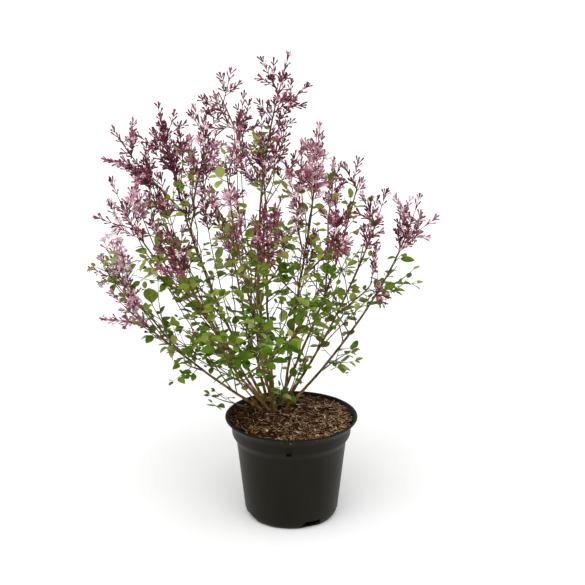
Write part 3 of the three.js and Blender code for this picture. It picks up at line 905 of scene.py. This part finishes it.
def run_tree(name, mesh, tree, values):
    """The plain mesh object that a node tree makes of a mesh."""
    holder = link(name + "_source", mesh)
    modifier = holder.modifiers.new(tree.name, "NODES")
    modifier.node_group = tree
    for item in tree.interface.items_tree:
        if item.in_out == "INPUT" and item.name in values:
            modifier[item.identifier] = values[item.name]
    result = evaluated(holder, name)
    bpy.data.objects.remove(holder)
    kept = {"position", "material_index", "sharp_face", "UVMap"}
    for attribute in [a.name for a in result.attributes if not a.is_internal and a.name not in kept]:
        if not attribute.startswith("."):
            result.attributes.remove(result.attributes[attribute])
    return link(name, result)


def rod_tree():
    """Closed tubes along the edges of a mesh, with a radius at each point and bark relief on their skin."""
    sockets = {"Sides": "Int", "Relief": "Float", "Ridge width": "Float"}
    tree, given = geometry_tree("Limbs along their paths", sockets)
    paths = add(tree, "GeometryNodeMeshToCurve", {"Mesh": given["Geometry"]})
    radius = add(tree, "GeometryNodeInputNamedAttribute", {"Name": "thickness"}, data_type="FLOAT")
    section = add(tree, "GeometryNodeCurvePrimitiveCircle", {"Resolution": given["Sides"], "Radius": 1.0})
    swept = {"Curve": paths, "Profile Curve": section, "Scale": radius, "Fill Caps": True}
    tubes = add(tree, "GeometryNodeCurveToMesh", swept)
    position = add(tree, "GeometryNodeInputPosition")
    lengthwise = add(tree, "ShaderNodeVectorMath", {0: position, 1: (1.0, 1.0, 0.3)}, operation="MULTIPLY")
    fineness = add(tree, "ShaderNodeMath", {0: 1.0, 1: given["Ridge width"]}, operation="DIVIDE")
    ridges = add(tree, "ShaderNodeTexNoise", {"Vector": lengthwise, "Scale": fineness})
    centred = add(tree, "ShaderNodeMath", {0: ridges, 1: 0.5}, operation="SUBTRACT")
    height = add(tree, "ShaderNodeMath", {0: centred, 1: given["Relief"]}, operation="MULTIPLY")
    normal = add(tree, "GeometryNodeInputNormal")
    offset = add(tree, "ShaderNodeVectorMath", {0: normal, "Scale": height}, operation="SCALE")
    rough = add(tree, "GeometryNodeSetPosition", {"Geometry": tubes, "Offset": offset})
    return finish_tree(tree, rough, given["Material"])


SHAPES = ("Shape A", "Shape B", "Shape C")
SHAPE_SOCKETS = dict.fromkeys(SHAPES, "Object")


def finish_with_shapes(tree, given, points, form, turn, scale):
    """One of the three given shapes stands on each point."""
    pool = add(tree, "GeometryNodeJoinGeometry")
    for label in SHAPES:
        shape = add(tree, "GeometryNodeObjectInfo", {"Object": given[label]})
        instance = add(tree, "GeometryNodeGeometryToInstance", {"Geometry": shape.outputs["Geometry"]})
        tree.links.new(instance.outputs[0], pool.inputs[0])
    inputs = {"Points": points, "Instance": pool, "Pick Instance": True, "Instance Index": form}
    inputs |= {"Rotation": turn, "Scale": scale}
    return finish_tree(tree, add(tree, "GeometryNodeInstanceOnPoints", inputs), given["Material"])


def place_tree():
    """One of three shapes at each point, turned and sized as the point says."""
    tree, given = geometry_tree("Shapes at their places", SHAPE_SOCKETS | {"Size": "Float"})
    turn = add(tree, "GeometryNodeInputNamedAttribute", {"Name": "turn"}, data_type="QUATERNION")
    form = add(tree, "GeometryNodeInputNamedAttribute", {"Name": "form"}, data_type="INT")
    size = add(tree, "GeometryNodeInputNamedAttribute", {"Name": "size"}, data_type="FLOAT")
    scale = add(tree, "ShaderNodeMath", {0: size, 1: given["Size"]}, operation="MULTIPLY")
    return finish_with_shapes(tree, given, given["Geometry"], form, turn, scale)


def litter_tree():
    """One of three shapes strewn over the faces marked as covered, each lying flat with its own turn."""
    sockets = {"Density": "Float", "Seed": "Int", "Cover": "String", "Tilt": "Float"}
    tree, given = geometry_tree("Litter on a surface", SHAPE_SOCKETS | sockets)
    seed = {"Seed": given["Seed"]}
    cover = add(tree, "GeometryNodeInputNamedAttribute", {"Name": given["Cover"]}, data_type="FLOAT")
    density = add(tree, "ShaderNodeMath", {0: cover, 1: given["Density"]}, operation="MULTIPLY")
    spread = seed | {"Mesh": given["Geometry"], "Density": density}
    points = add(tree, "GeometryNodeDistributePointsOnFaces", spread)
    limits = []
    for sign, spin in ((-1, 0.0), (1, 2 * pi)):
        flat = {0: given["Tilt"], 1: sign, 2: pi / 2}
        tilt = add(tree, "ShaderNodeMath", flat, operation="MULTIPLY_ADD")
        roll = add(tree, "ShaderNodeMath", {0: given["Tilt"], 1: 1.6 * sign}, operation="MULTIPLY")
        limits.append(add(tree, "ShaderNodeCombineXYZ", {0: tilt, 1: roll, 2: spin}))
    turn = add(tree, "FunctionNodeRandomValue", seed | dict(enumerate(limits)), data_type="FLOAT_VECTOR")
    size = add(tree, "FunctionNodeRandomValue", seed | {2: 0.6, 3: 1.35}, data_type="FLOAT")
    form = add(tree, "FunctionNodeRandomValue", seed | {4: 0, 5: 2}, data_type="INT")
    return finish_with_shapes(tree, given, points, form.outputs[2], turn, size.outputs[1])


def rods_mesh(name, rods):
    """All rods as one mesh of edges, with the radius at each point in `thickness`."""
    edges = []
    first = 0
    for path, _ in rods:
        edges += [(first + i, first + i + 1) for i in range(len(path) - 1)]
        first += len(path)
    mesh = mesh_of(name, np.concatenate([path for path, _ in rods]) * MM, edges=edges)
    mark(mesh, "thickness", "FLOAT", np.concatenate([radii for _, radii in rods]) * MM)
    return mesh


def places_mesh(name, places):
    """A point at each place, with the turn, the size and the form of what stands there."""
    mesh = mesh_of(name, np.array([point for point, *_ in places]) * MM)
    turns = []
    for _, heading, facing, _ in places:
        face = unit(facing - heading * (facing @ heading))
        side = np.cross(face, heading)
        turns.append(Matrix([side, face, heading]).transposed().to_quaternion()[:])
    mark(mesh, "turn", "QUATERNION", turns)
    mark(mesh, "size", "FLOAT", [size for *_, size in places])
    mark(mesh, "form", "INT", np.arange(len(places)) * 7 % 3)
    return mesh


# --- Shapes that repeat, in millimetres ---


def leaf_shape(name, length, width, fold, arch, petiole):
    """A thin closed leaf: a broad oval with a short point, folded along its midrib and curled at its tip."""
    rows = [(0, 0.16), (0.1, 0.52), (0.24, 0.86), (0.42, 1), (0.6, 0.95), (0.78, 0.7), (0.9, 0.38), (1, 0)]
    thick = 0.28
    points, faces = [], []
    for share, broad in rows:
        along = petiole + share * length
        half = 0.5 * width * broad
        drop = -arch * length * share * share
        lift = drop + fold * half
        section = [(-half, lift), (0, drop + thick), (half, lift), (0, drop - thick)]
        points += [(x, y, along) for x, y in section]
    for low in range(0, len(points) - 4, 4):
        for corner in range(4):
            after = (corner + 1) % 4
            faces.append((low + corner, low + 4 + corner, low + 4 + after, low + after))
    faces += [(0, 1, 2, 3), *prism_faces(len(points), 3)]
    points += [(-0.5, 0, 0), (0, 0.5, 0), (0.5, 0, 0)]
    points += [(-0.4, 0, petiole + 1), (0, 0.45, petiole + 1), (0.4, 0, petiole + 1)]
    return link(name, closed(mesh_of(name, np.array(points) * MM, faces)))


def leaf_shapes():
    return [
        leaf_shape("leaf_open", 22.0, 14.6, 0.22, 0.12, 3.5),
        leaf_shape("leaf_arched", 24.0, 14.4, 0.34, 0.28, 3.0),
        leaf_shape("leaf_round", 18.5, 14.6, 0.14, -0.06, 3.0),
    ]


def bud_shapes():
    """Unopened flowers: tubes that widen into a bulb with a blunt tip."""
    shapes = []
    for name, length, swelling in (("bud_slim", 13, 1.3), ("bud_plump", 11.5, 1.6), ("bud_long", 14.5, 1.45)):
        rows = [(0, 0), (0.65, 0.08), (0.8, 0.45), (swelling, 0.78), (0.75 * swelling, 0.93), (0, 1)]
        shapes.append(turned_shape(name, [(radius, share * length) for radius, share in rows], 5))
        shapes[-1].data.shade_smooth()
    return shapes


def flower_shape(name, tube, spread, recurve):
    """A slender tube that opens in four petals, each a thin closed blade."""
    flower = turned_shape(name, [(0, 0), (0.6, 0.8), (0.7, 0.75 * tube), (1, tube), (0, tube + 0.2)], 4)
    points = [vertex.co.copy() for vertex in flower.data.vertices]
    faces = [tuple(face.vertices) for face in flower.data.polygons]
    petal = [(0.5, 0.0, 0.0), (3.1, 1.75, 0.45), (3.1, -1.75, 0.45), (5.1, 0.0, -recurve)]
    petal += [(2.9, 0.0, 0.62), (2.9, 0.0, 0.1)]
    for order in range(4):
        turn = Matrix.Rotation(radians(90 * order + 45), 4, "Z")
        root, left, right, tip, over, under = range(len(points), len(points) + 6)
        points += [turn @ Vector((x * spread * MM, y * spread * MM, (tube + z) * MM)) for x, y, z in petal]
        faces += [(root, over, left), (left, over, tip), (tip, over, right), (right, over, root)]
        faces += [(left, under, root), (tip, under, left), (right, under, tip), (root, under, right)]
    flower.data = closed(mesh_of(name, points, faces))
    return flower


def flower_shapes():
    return [
        flower_shape("flower_flat", 9.5, 0.95, 0.3),
        flower_shape("flower_small", 8.5, 0.8, -0.6),
        flower_shape("flower_recurved", 10.5, 1.05, 1.2),
    ]


def chip_shapes():
    rows = [(0.0, -5.5), (0.9, -4.6), (1.5, -1.5), (1.25, 2.4), (0.7, 4.8), (0.0, 5.4)]
    shapes = []
    for name, width, length, flatten, curl in (
        ("chip_broad", 1.05, 1.0, 0.32, 6.0),
        ("chip_slim", 0.5, 1.25, 0.5, -12.0),
        ("chip_short", 0.8, 0.65, 0.42, 16.0),
    ):
        outline = [(radius * width, height * length) for radius, height in rows]
        shapes.append(turned_shape(name, outline, 5, flatten, curl))
    return shapes


def fibre_shapes():
    shapes = []
    for name, length, curl in (("fibre_long", 11, 34), ("fibre_curled", 8, 75), ("fibre_short", 6, -50)):
        middle = [(0.36, height) for height in np.linspace(-length, length, 7)]
        shapes.append(turned_shape(name, [(0, -length - 0.3), *middle, (0, length + 0.3)], 3, 1.0, curl))
    return shapes


# --- Materials ---


def linear(hex_colour):
    """The linear RGBA of an sRGB colour such as 4f7d22."""
    shares = np.array(list(bytes.fromhex(hex_colour))) / 255
    return (*np.where(shares <= 0.04045, shares / 12.92, ((shares + 0.055) / 1.055) ** 2.4), 1.0)


def surface(name, tones, patch, roughness, grain, relief, specular, stretch=(1, 1, 1), sheen_tint="ffffff"):
    """A surface whose tones vary in patches of one size, and its relief and roughness in a finer grain.

    The sizes are in millimetres, and stretch draws the pattern out along an axis by a factor below 1.
    """
    material = bpy.data.materials.new(name)
    material.use_nodes = True
    tree = material.node_tree
    tree.nodes.clear()
    place = add(tree, "ShaderNodeTexCoord")
    mapped = add(tree, "ShaderNodeMapping", {"Vector": place.outputs["Object"], "Scale": stretch})
    coarse = {"Vector": mapped, "Scale": 1 / (patch * MM), "Detail": 3.0, "Roughness": 0.6}
    patches = add(tree, "ShaderNodeTexNoise", coarse)
    finer = {"Scale": 1 / (grain * MM), "Detail": 4.0, "Roughness": 0.55}
    fine = add(tree, "ShaderNodeTexNoise", coarse | finer)
    ramp = add(tree, "ShaderNodeValToRGB", {"Fac": patches})
    tones = tones.split()
    elements = ramp.color_ramp.elements
    while len(elements) < len(tones):
        elements.new(0.5)
    for order, tone in enumerate(tones):
        elements[order].position = 0.32 + 0.36 * order / (len(tones) - 1)
        elements[order].color = linear(tone)
    dulled = {"Value": fine, "From Min": 0.3, "From Max": 0.7}
    dulled |= {"To Min": roughness[0], "To Max": roughness[1]}
    dull = add(tree, "ShaderNodeMapRange", dulled)
    bump = add(tree, "ShaderNodeBump", {"Height": fine, "Distance": relief * MM, "Strength": 1.0})
    look = {"Base Color": ramp, "Roughness": dull, "Normal": bump}
    look |= {"Specular IOR Level": specular, "Specular Tint": linear(sheen_tint)}
    shader = add(tree, "ShaderNodeBsdfPrincipled", look)
    add(tree, "ShaderNodeOutputMaterial", {"Surface": shader})
    return material


# --- Sizes and colours that a user would change ---


def length_setting(name, description, default):
    return FloatProperty(name=name, description=description, default=default, min=0.0, unit="LENGTH")


def count_setting(name, description, default, low, high=1000000):
    return IntProperty(name=name, description=description, default=default, min=low, max=high)


def factor_setting(name, description):
    return FloatProperty(name=name, description=description, default=1.0, min=0.0, max=4.0, subtype="FACTOR")


class PotSettings(bpy.types.PropertyGroup):
    """Sizes of the nursery pot."""

    wall: length_setting("Wall", "Thickness of the moulded wall", 0.0018)
    notch_width: length_setting("Drain notch width", "Width of each drain notch in the bottom edge", 0.040)
    notch_height: length_setting("Drain notch height", "Height of each drain notch", 0.0138)
    slot_width: length_setting("Label slot width", "Width of the slot for a plant label", 0.0088)
    slot_depth: length_setting("Label slot depth", "Depth of that slot and of the pocket behind it", 0.0042)
    sides: count_setting("Sides", "Faces round the pot", 144, 24, 360)


class MulchSettings(bpy.types.PropertyGroup):
    """How the bark mulch lies."""

    relief: length_setting("Relief", "Height of the bumps in the bed", 0.0045)
    chips: count_setting("Chips", "Bark chips per square metre and tone", 23000, 0)
    fibres: count_setting("Fibres", "Curled fibres per square metre", 30000, 0)
    tilt: FloatProperty(name="Tilt", description="How far a chip may tilt", default=0.42, subtype="ANGLE")


class WoodSettings(bpy.types.PropertyGroup):
    """The skin of the stems, boughs and twigs."""

    bark_relief: length_setting("Bark relief", "Height of the ridges of the bark", 0.0006)
    ridge_width: length_setting("Ridge width", "Distance between the ridges of the bark", 0.0022)
    limb_sides: count_setting("Limb sides", "Faces round a stem or bough", 9, 4, 24)


class FoliageSettings(bpy.types.PropertyGroup):
    """Sizes of the leaves and flowers."""

    leaf_size: factor_setting("Leaf size", "Size of every leaf against its drawn size")
    flower_size: factor_setting("Flower size", "Size of every bud and flower against its drawn size")


class StageSettings(bpy.types.PropertyGroup):
    """The studio round the bush."""

    floor_radius: length_setting("Floor radius", "Radius of the plain floor", 30.0)
    sky: FloatVectorProperty(name="Sky", description="Colour of the sky", default=(1, 1, 1), subtype="COLOR")


# --- Pieces ---

NODES = list(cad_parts)
LIMBS = [name for name in NODES if name.startswith(("stem_", "bough_"))]
SPRAYS = [name for name in NODES if name.startswith("spray_")]
MASSES = SPRAYS + [name for name in NODES if name.startswith("shoot_")]
MOST_TRIANGLES = 190000


def settle(piece, nodes):
    """Hangs a finished piece on the root body and hides the CAD nodes that it stands for."""
    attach(piece, "root")
    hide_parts(*nodes)


def discard(*pieces):
    for piece in pieces:
        bpy.data.objects.remove(piece)


def deal_out(name, places, shapes, size, material, nodes):
    """One or more pieces of a kind of shape at its places, each piece under the most triangles."""
    tree = bpy.data.node_groups.get("Shapes at their places") or place_tree()
    for shape in shapes:
        shape.data.calc_loop_triangles()
    share = MOST_TRIANGLES // max(len(shape.data.loop_triangles) for shape in shapes)
    parts = ceil(len(places) / share)
    for part in range(parts):
        label = name if parts == 1 else f"{name}_{part + 1}"
        values = dict(zip(SHAPES, shapes)) | {"Size": size, "Material": material}
        settle(run_tree(label, places_mesh(label, places[part::parts]), tree, values), nodes)


class LILAC_OT_pot(bpy.types.Operator):
    """Turn the pot from its profile and cut its drain notches and label slot."""

    bl_idname = "lilac.pot"
    bl_label = "Nursery pot"

    def execute(self, context):
        settings = context.scene.lilac_pot
        outside = [(70, 0), (73.5, 0.9), (75.8, 3), (78.5, 8), (80.5, 14), (84, 46), (87.2, 75), (90.5, 105)]
        outside += [(93.8, 134), (94.7, 137), (97.6, 142), (100.4, 146.5), (101.4, 149.5), (102.2, 161)]
        outside += [(103.2, 165.5), (106, 169.6), (110, 173.4), (112.4, 175.6), (113, 177), (112.7, 178.3)]
        inside = [(111.6, 179), (110.2, 179), (109, 178.2), (107.6, 176), (104.6, 172.2), (101.4, 167)]
        inside += [(radius - settings.wall / MM, height) for radius, height in reversed(outside[4:14])]
        pot = turned_shape("pot_shell", [(0, 0), *outside, *inside, (72, 3), (0, 3)], settings.sides)
        width, depth = settings.slot_width, settings.slot_depth
        pocket = self.collar_prism("label_pocket", width + 0.0024, 0.0009, depth + 0.0012, 0.0012)
        self.carve(pot, pocket, "UNION")
        self.carve(pot, self.notches(settings), "DIFFERENCE")
        self.carve(pot, self.collar_prism("label_slot", width, -0.004, depth, 0), "DIFFERENCE")
        # Injection-moulded polypropylene, black with a little warm green: satin, with a faint orange peel.
        look = ("0a0a07 0d0d09 10100b", 60, (0.4, 0.52), 1.2, 0.03, 0.16)
        pot.data.materials.append(surface("moulded_polypropylene", *look, sheen_tint="fff1d6"))
        pot.name = "nursery_pot"
        self.shade_by_angle(pot.data, 32)
        settle(pot, ["pot"])
        return {"FINISHED"}

    @staticmethod
    def carve(pot, mesh, operation):
        block = link(mesh.name, mesh)
        modifier = pot.modifiers.new("Carve", "BOOLEAN")
        modifier.operation = operation
        modifier.solver = "EXACT"
        modifier.object = block
        result = evaluated(pot, "pot_shell")
        pot.modifiers.remove(modifier)
        pot.data = result
        result.materials.clear()
        discard(block)

    @staticmethod
    def notches(settings):
        """Four blocks round the bottom edge, each narrower at its top."""
        half, near, far = settings.notch_width / 2, -0.09, -0.071
        points, faces = [], []
        for order in range(4):
            turn = Matrix.Rotation(radians(24 + 90 * order), 4, "Z")
            faces += prism_faces(len(points), 4)
            for left, right, z in ((0.004, 0.002, -0.004), (-0.012, -0.001, settings.notch_height)):
                left, right = -half - left, half + right
                points += [turn @ Vector((x, near, z)) for x in (left, right)]
                points += [turn @ Vector((x, far, z)) for x in (right, left)]
        return closed(mesh_of("notches", points, faces))

    @staticmethod
    def collar_prism(name, width, near, far, margin):
        """An upright prism between two depths under the collar's front, a margin taller than the slot."""
        margin /= MM
        wall = [(99.4, 144.6 - margin), (100.4, 146.5), (101.4, 149.5), (102.2, 161), (102.4, 162 + margin)]
        outline = [(far - radius * MM, height * MM) for radius, height in wall]
        outline += [(near - radius * MM, height * MM) for radius, height in reversed(wall)]
        centre = -0.0038
        points = [(x, y, z) for x in (centre - width / 2, centre + width / 2) for y, z in outline]
        return closed(mesh_of(name, points, prism_faces(0, len(outline))))

    @staticmethod
    def shade_by_angle(mesh, degrees):
        """Smooth shading, with edges sharper than an angle left crisp."""
        draft = bmesh.new()
        draft.from_mesh(mesh)
        for face in draft.faces:
            face.smooth = True
        for edge in draft.edges:
            edge.smooth = len(edge.link_faces) == 2 and edge.calc_face_angle(0) < radians(degrees)
        draft.to_mesh(mesh)
        draft.free()


class LILAC_OT_mulch(bpy.types.Operator):
    """Fill the pot and strew bark chips and fibres on the bed."""

    bl_idname = "lilac.mulch"
    bl_label = "Bark mulch"

    def execute(self, context):
        settings = context.scene.lilac_mulch
        bed = link("potting_mix", self.bed(settings))
        # Moist composted bark: nearly black brown crumbs, rough and without gloss.
        soil = surface("composted_bark", "050200 100702 1d1006", 5, (0.85, 1.0), 1.0, 0.8, 0.05)
        bed.data.materials.append(soil)
        settle(bed, ["potting_soil"])
        tree = litter_tree()
        chips, fibres = chip_shapes(), fibre_shapes()
        # Shredded bark: matt slivers, split along their grain, purplish brown to fresh tan.
        for name, tones, shapes, density, cover, seed in (
            ("chips_dark", "0e0501 1e0e05 30190c", chips, 1.3 * settings.chips, "cover", 3),
            ("chips_brown", "2e1a0c 4a2e1a 66452c", chips, 0.6 * settings.chips, "cover", 11),
            # The tan and pale chips and fibres lie thickest on the right front of the bed, painted sunlight,
            # and in random patches besides.
            ("chips_tan", "7a5230 a1764c bd9468", chips, 0.6 * settings.chips, "bright", 23),
            ("chips_pale", "b8946c dfc19b f0dcc0", chips, 0.44 * settings.chips, "bright", 31),
            ("fibres_brown", "3c2614 5e4028 805f40", fibres, settings.fibres, "cover", 41),
            ("fibres_pale", "8e7355 b89a74 d0b995", fibres, settings.fibres, "bright", 53),
        ):
            values = dict(zip(SHAPES, shapes)) | {"Density": float(density), "Seed": seed, "Cover": cover}
            values["Tilt"] = settings.tilt
            values["Material"] = surface("shredded_" + name, tones, 9, (0.7, 0.95), 0.8, 0.25, 0.1)
            settle(run_tree(name, bed.data.copy(), tree, values), ["potting_soil"])
        discard(*chips, *fibres)
        return {"FINISHED"}

    @staticmethod
    def bed(settings):
        """A closed plug of potting mix with a bumpy top, highest at the stems and lower at the back."""
        rings, top = 30, 0.1748
        rows = [(0.0, 0.0034), (0.058, 0.0034), (0.062, 0.013), (0.0788, 0.0145), (0.0916, 0.134)]
        rows += [(0.0945, 0.144), (0.0955, 0.163)]
        rows += [(0.1048 * (1 - ring / rings), top) for ring in range(rings + 1)]
        mesh = turned_mesh("potting_mix", rows, 96)
        cover, bright = [], []
        for vertex in mesh.vertices:
            x, y, z = vertex.co
            radius = hypot(x, y)
            on_top = z > top - 0.001
            if on_top:
                bumps = noise.fractal(Vector((x, y, 0.3)) * 60, 0.9, 2.1, 4)
                crown = 0.002 * exp(-(((x + 0.03) ** 2 + (y - 0.05) ** 2) / 0.0022))
                sag = 0.0012 * max(0.0, (radius - 0.092) / 0.0128)
                vertex.co.z = z + settings.relief * 0.45 * bumps + crown - sag - 0.008 * y
            cover.append(float(on_top and radius < 0.1025))
            # Painted light: more tan and pale litter towards the right front, the side where the sun falls,
            # plus random patches of it.
            sunny = 0.5 + 5.5 * x - 2.0 * y + 0.9 * noise.noise(Vector((x, y, 0.0)) * 45)
            bright.append(cover[-1] * min(max(sunny, 0.12), 1.2))
        mark(mesh, "cover", "FLOAT", cover)
        mark(mesh, "bright", "FLOAT", bright)
        return mesh


class LILAC_OT_wood(bpy.types.Operator):
    """Lay bark along the stems, boughs, twigs and flower stalks."""

    bl_idname = "lilac.wood"
    bl_label = "Stems, boughs and twigs"

    def execute(self, context):
        settings = context.scene.lilac_wood
        sides, along = settings.limb_sides, (1, 1, 0.25)
        # Old lilac bark: grey tan to olive brown, matt, and lifting in thin strips along the stem.
        old = surface("peeling_lilac_bark", "4b3718 7b6034 a7884e", 7, (0.75, 0.95), 1.6, 0.5, 0.2, along)
        # Young lilac bark: smooth, red brown with a slight gloss and fine pale pores.
        young = surface("young_lilac_bark", "3c2918 60462a 8b7049", 9, (0.55, 0.75), 1.4, 0.25, 0.2, along)
        # This year's leafy shoots: soft, olive green that turns brown on the sunny side.
        green = surface("leafy_shoot_skin", "51431f 685d2a 73512f", 14, (0.55, 0.7), 1.0, 0.1, 0.2, along)
        # Flower stalks: thin, dark wine brown, with a fine down that takes the gloss off.
        stalk = surface("downy_flower_stalk", "402722 5d3f37 755546", 16, (0.6, 0.8), 0.8, 0.08, 0.2)
        tree = rod_tree()
        for name, key, material, round_sides, ridges, nodes in (
            ("stem_bases", "old_wood", old, sides, 1.5, LIMBS),
            ("stems_and_boughs", "young_wood", young, sides, 0.5, LIMBS + MASSES),
            ("leafy_twigs", "green_shoots", green, 4, 0.1, MASSES),
            ("flower_stalks", "flower_stalks", stalk, 3, 0.1, SPRAYS),
        ):
            values = {"Sides": round_sides, "Relief": ridges * settings.bark_relief}
            values |= {"Ridge width": settings.ridge_width, "Material": material}
            piece = run_tree(name, rods_mesh(name, grown().rods[key]), tree, values)
            piece.data.shade_smooth()
            settle(piece, nodes)
        return {"FINISHED"}


class LILAC_OT_leaves(bpy.types.Operator):
    """Hang the leaves on their twigs."""

    bl_idname = "lilac.leaves"
    bl_label = "Leaves"

    def execute(self, context):
        size = context.scene.lilac_foliage.leaf_size
        shapes = leaf_shapes()
        # Lilac leaves: thin and smooth, with a soft cuticle gloss that is lower where the blade is puckered.
        for name, tones in (
            ("leaves_deep", "435f08 53720f 65831c"),
            ("leaves_green", "66771f 76852b 85933e"),
            ("leaves_fresh", "849041 929c52 a1ab6c"),
            ("leaves_flushed", "626a20 777230 7f683a"),
        ):
            material = surface("lilac_" + name, tones, 22, (0.5, 0.65), 2.0, 0.12, 0.15)
            deal_out(name, grown().places[name], shapes, size, material, MASSES)
        discard(*shapes)
        return {"FINISHED"}


class LILAC_OT_blossom(bpy.types.Operator):
    """Set the buds and open flowers on their spikes."""

    bl_idname = "lilac.blossom"
    bl_label = "Buds and flowers"

    def execute(self, context):
        size = context.scene.lilac_foliage.flower_size
        buds, flowers = bud_shapes(), flower_shapes()
        # Unopened lilac flowers: waxy tubes, darkest in the bud and paler as they lengthen.
        # Open lilac flowers: thin petals, matt and pale inside.
        for name, tones, shapes, roughness in (
            ("buds_wine", "4a1625 642438 824050", buds, (0.55, 0.7)),
            ("buds_rose", "752c44 93455e ae647c", buds, (0.55, 0.7)),
            ("buds_mauve", "9a6072 b07889 c2909d", buds, (0.55, 0.7)),
            ("petals_lilac", "b27f92 c798a8 d5adb9", flowers, (0.6, 0.8)),
            ("petals_pale", "d0a8b4 e0c0c9 ecd4da", flowers, (0.6, 0.8)),
        ):
            material = surface("lilac_" + name, tones, 18, roughness, 1.5, 0.08, 0.18)
            deal_out(name, grown().places[name], shapes, size, material, SPRAYS)
        discard(*buds, *flowers)
        return {"FINISHED"}


class LILAC_OT_stage(bpy.types.Operator):
    """Lay the floor, hang the lights and set up the camera."""

    bl_idname = "lilac.stage"
    bl_label = "Studio"

    def execute(self, context):
        scene, settings = context.scene, context.scene.lilac_stage
        radius, turns = settings.floor_radius, np.linspace(0, 2 * pi, 65)[:-1]
        corners = [(radius * cos(turn), radius * sin(turn), 0) for turn in turns]
        floor = link("studio_floor", mesh_of("studio_floor", corners, [tuple(range(64))]))
        # Seamless painted board: matt and very pale.
        board = surface("matt_white_board", "fafafa ffffff", 400, (0.9, 1.0), 3.0, 0.02, 0.1)
        floor.data.materials.append(board)
        self.light("key_sun", 1.3, (34, 0, -24), 60)
        self.light("fill_sun", 0.6, (48, 0, 40), 80)
        scene.world = bpy.data.worlds.new("soft_studio")
        scene.world.use_nodes = True
        tree = scene.world.node_tree
        tree.nodes.clear()
        sky = add(tree, "ShaderNodeBackground", {"Color": (*settings.sky, 1), "Strength": 0.75})
        add(tree, "ShaderNodeOutputWorld", {"Surface": sky})
        scene.view_settings.view_transform = "Standard"
        scene.camera = link("camera", bpy.data.cameras.new("camera"))
        scene.camera.data.sensor_width = 36.0
        scene.camera.data.lens = 86.07
        scene.camera.location = (0.002, -2.2221, 1.0858)
        scene.camera.rotation_euler = (radians(90 - 17.21), 0, 0)
        return {"FINISHED"}

    @staticmethod
    def light(name, strength, angles, spread):
        sun = link(name, bpy.data.lights.new(name, "SUN"))
        sun.data.energy = strength
        sun.data.angle = radians(spread)
        sun.rotation_euler = [radians(angle) for angle in angles]


class LILAC_PT_panel(bpy.types.Panel):
    """Lists the steps that build the bush."""

    bl_idname = "LILAC_PT_panel"
    bl_label = "Lilac bush"
    bl_space_type = "VIEW_3D"
    bl_region_type = "UI"
    bl_category = "Lilac bush"

    def draw(self, context):
        for operator in OPERATORS:
            self.layout.operator(operator.bl_idname)
        for name, group in SETTINGS.items():
            for label in group.__annotations__:
                self.layout.prop(getattr(context.scene, name), label)


SETTINGS = {
    "lilac_pot": PotSettings,
    "lilac_mulch": MulchSettings,
    "lilac_wood": WoodSettings,
    "lilac_foliage": FoliageSettings,
    "lilac_stage": StageSettings,
}
OPERATORS = [LILAC_OT_stage, LILAC_OT_pot, LILAC_OT_mulch, LILAC_OT_wood, LILAC_OT_leaves, LILAC_OT_blossom]
CLASSES = [*SETTINGS.values(), *OPERATORS, LILAC_PT_panel]


def register():
    for group in CLASSES:
        bpy.utils.register_class(group)
    for name, group in SETTINGS.items():
        setattr(bpy.types.Scene, name, PointerProperty(type=group))


def unregister():
    for name in SETTINGS:
        delattr(bpy.types.Scene, name)
    for group in reversed(CLASSES):
        bpy.utils.unregister_class(group)


def main():
    register()
    bpy.ops.lilac.stage()
    bpy.ops.lilac.pot()
    bpy.ops.lilac.mulch()
    bpy.ops.lilac.wood()
    bpy.ops.lilac.leaves()
    bpy.ops.lilac.blossom()


if __name__ == "__main__":
    main()
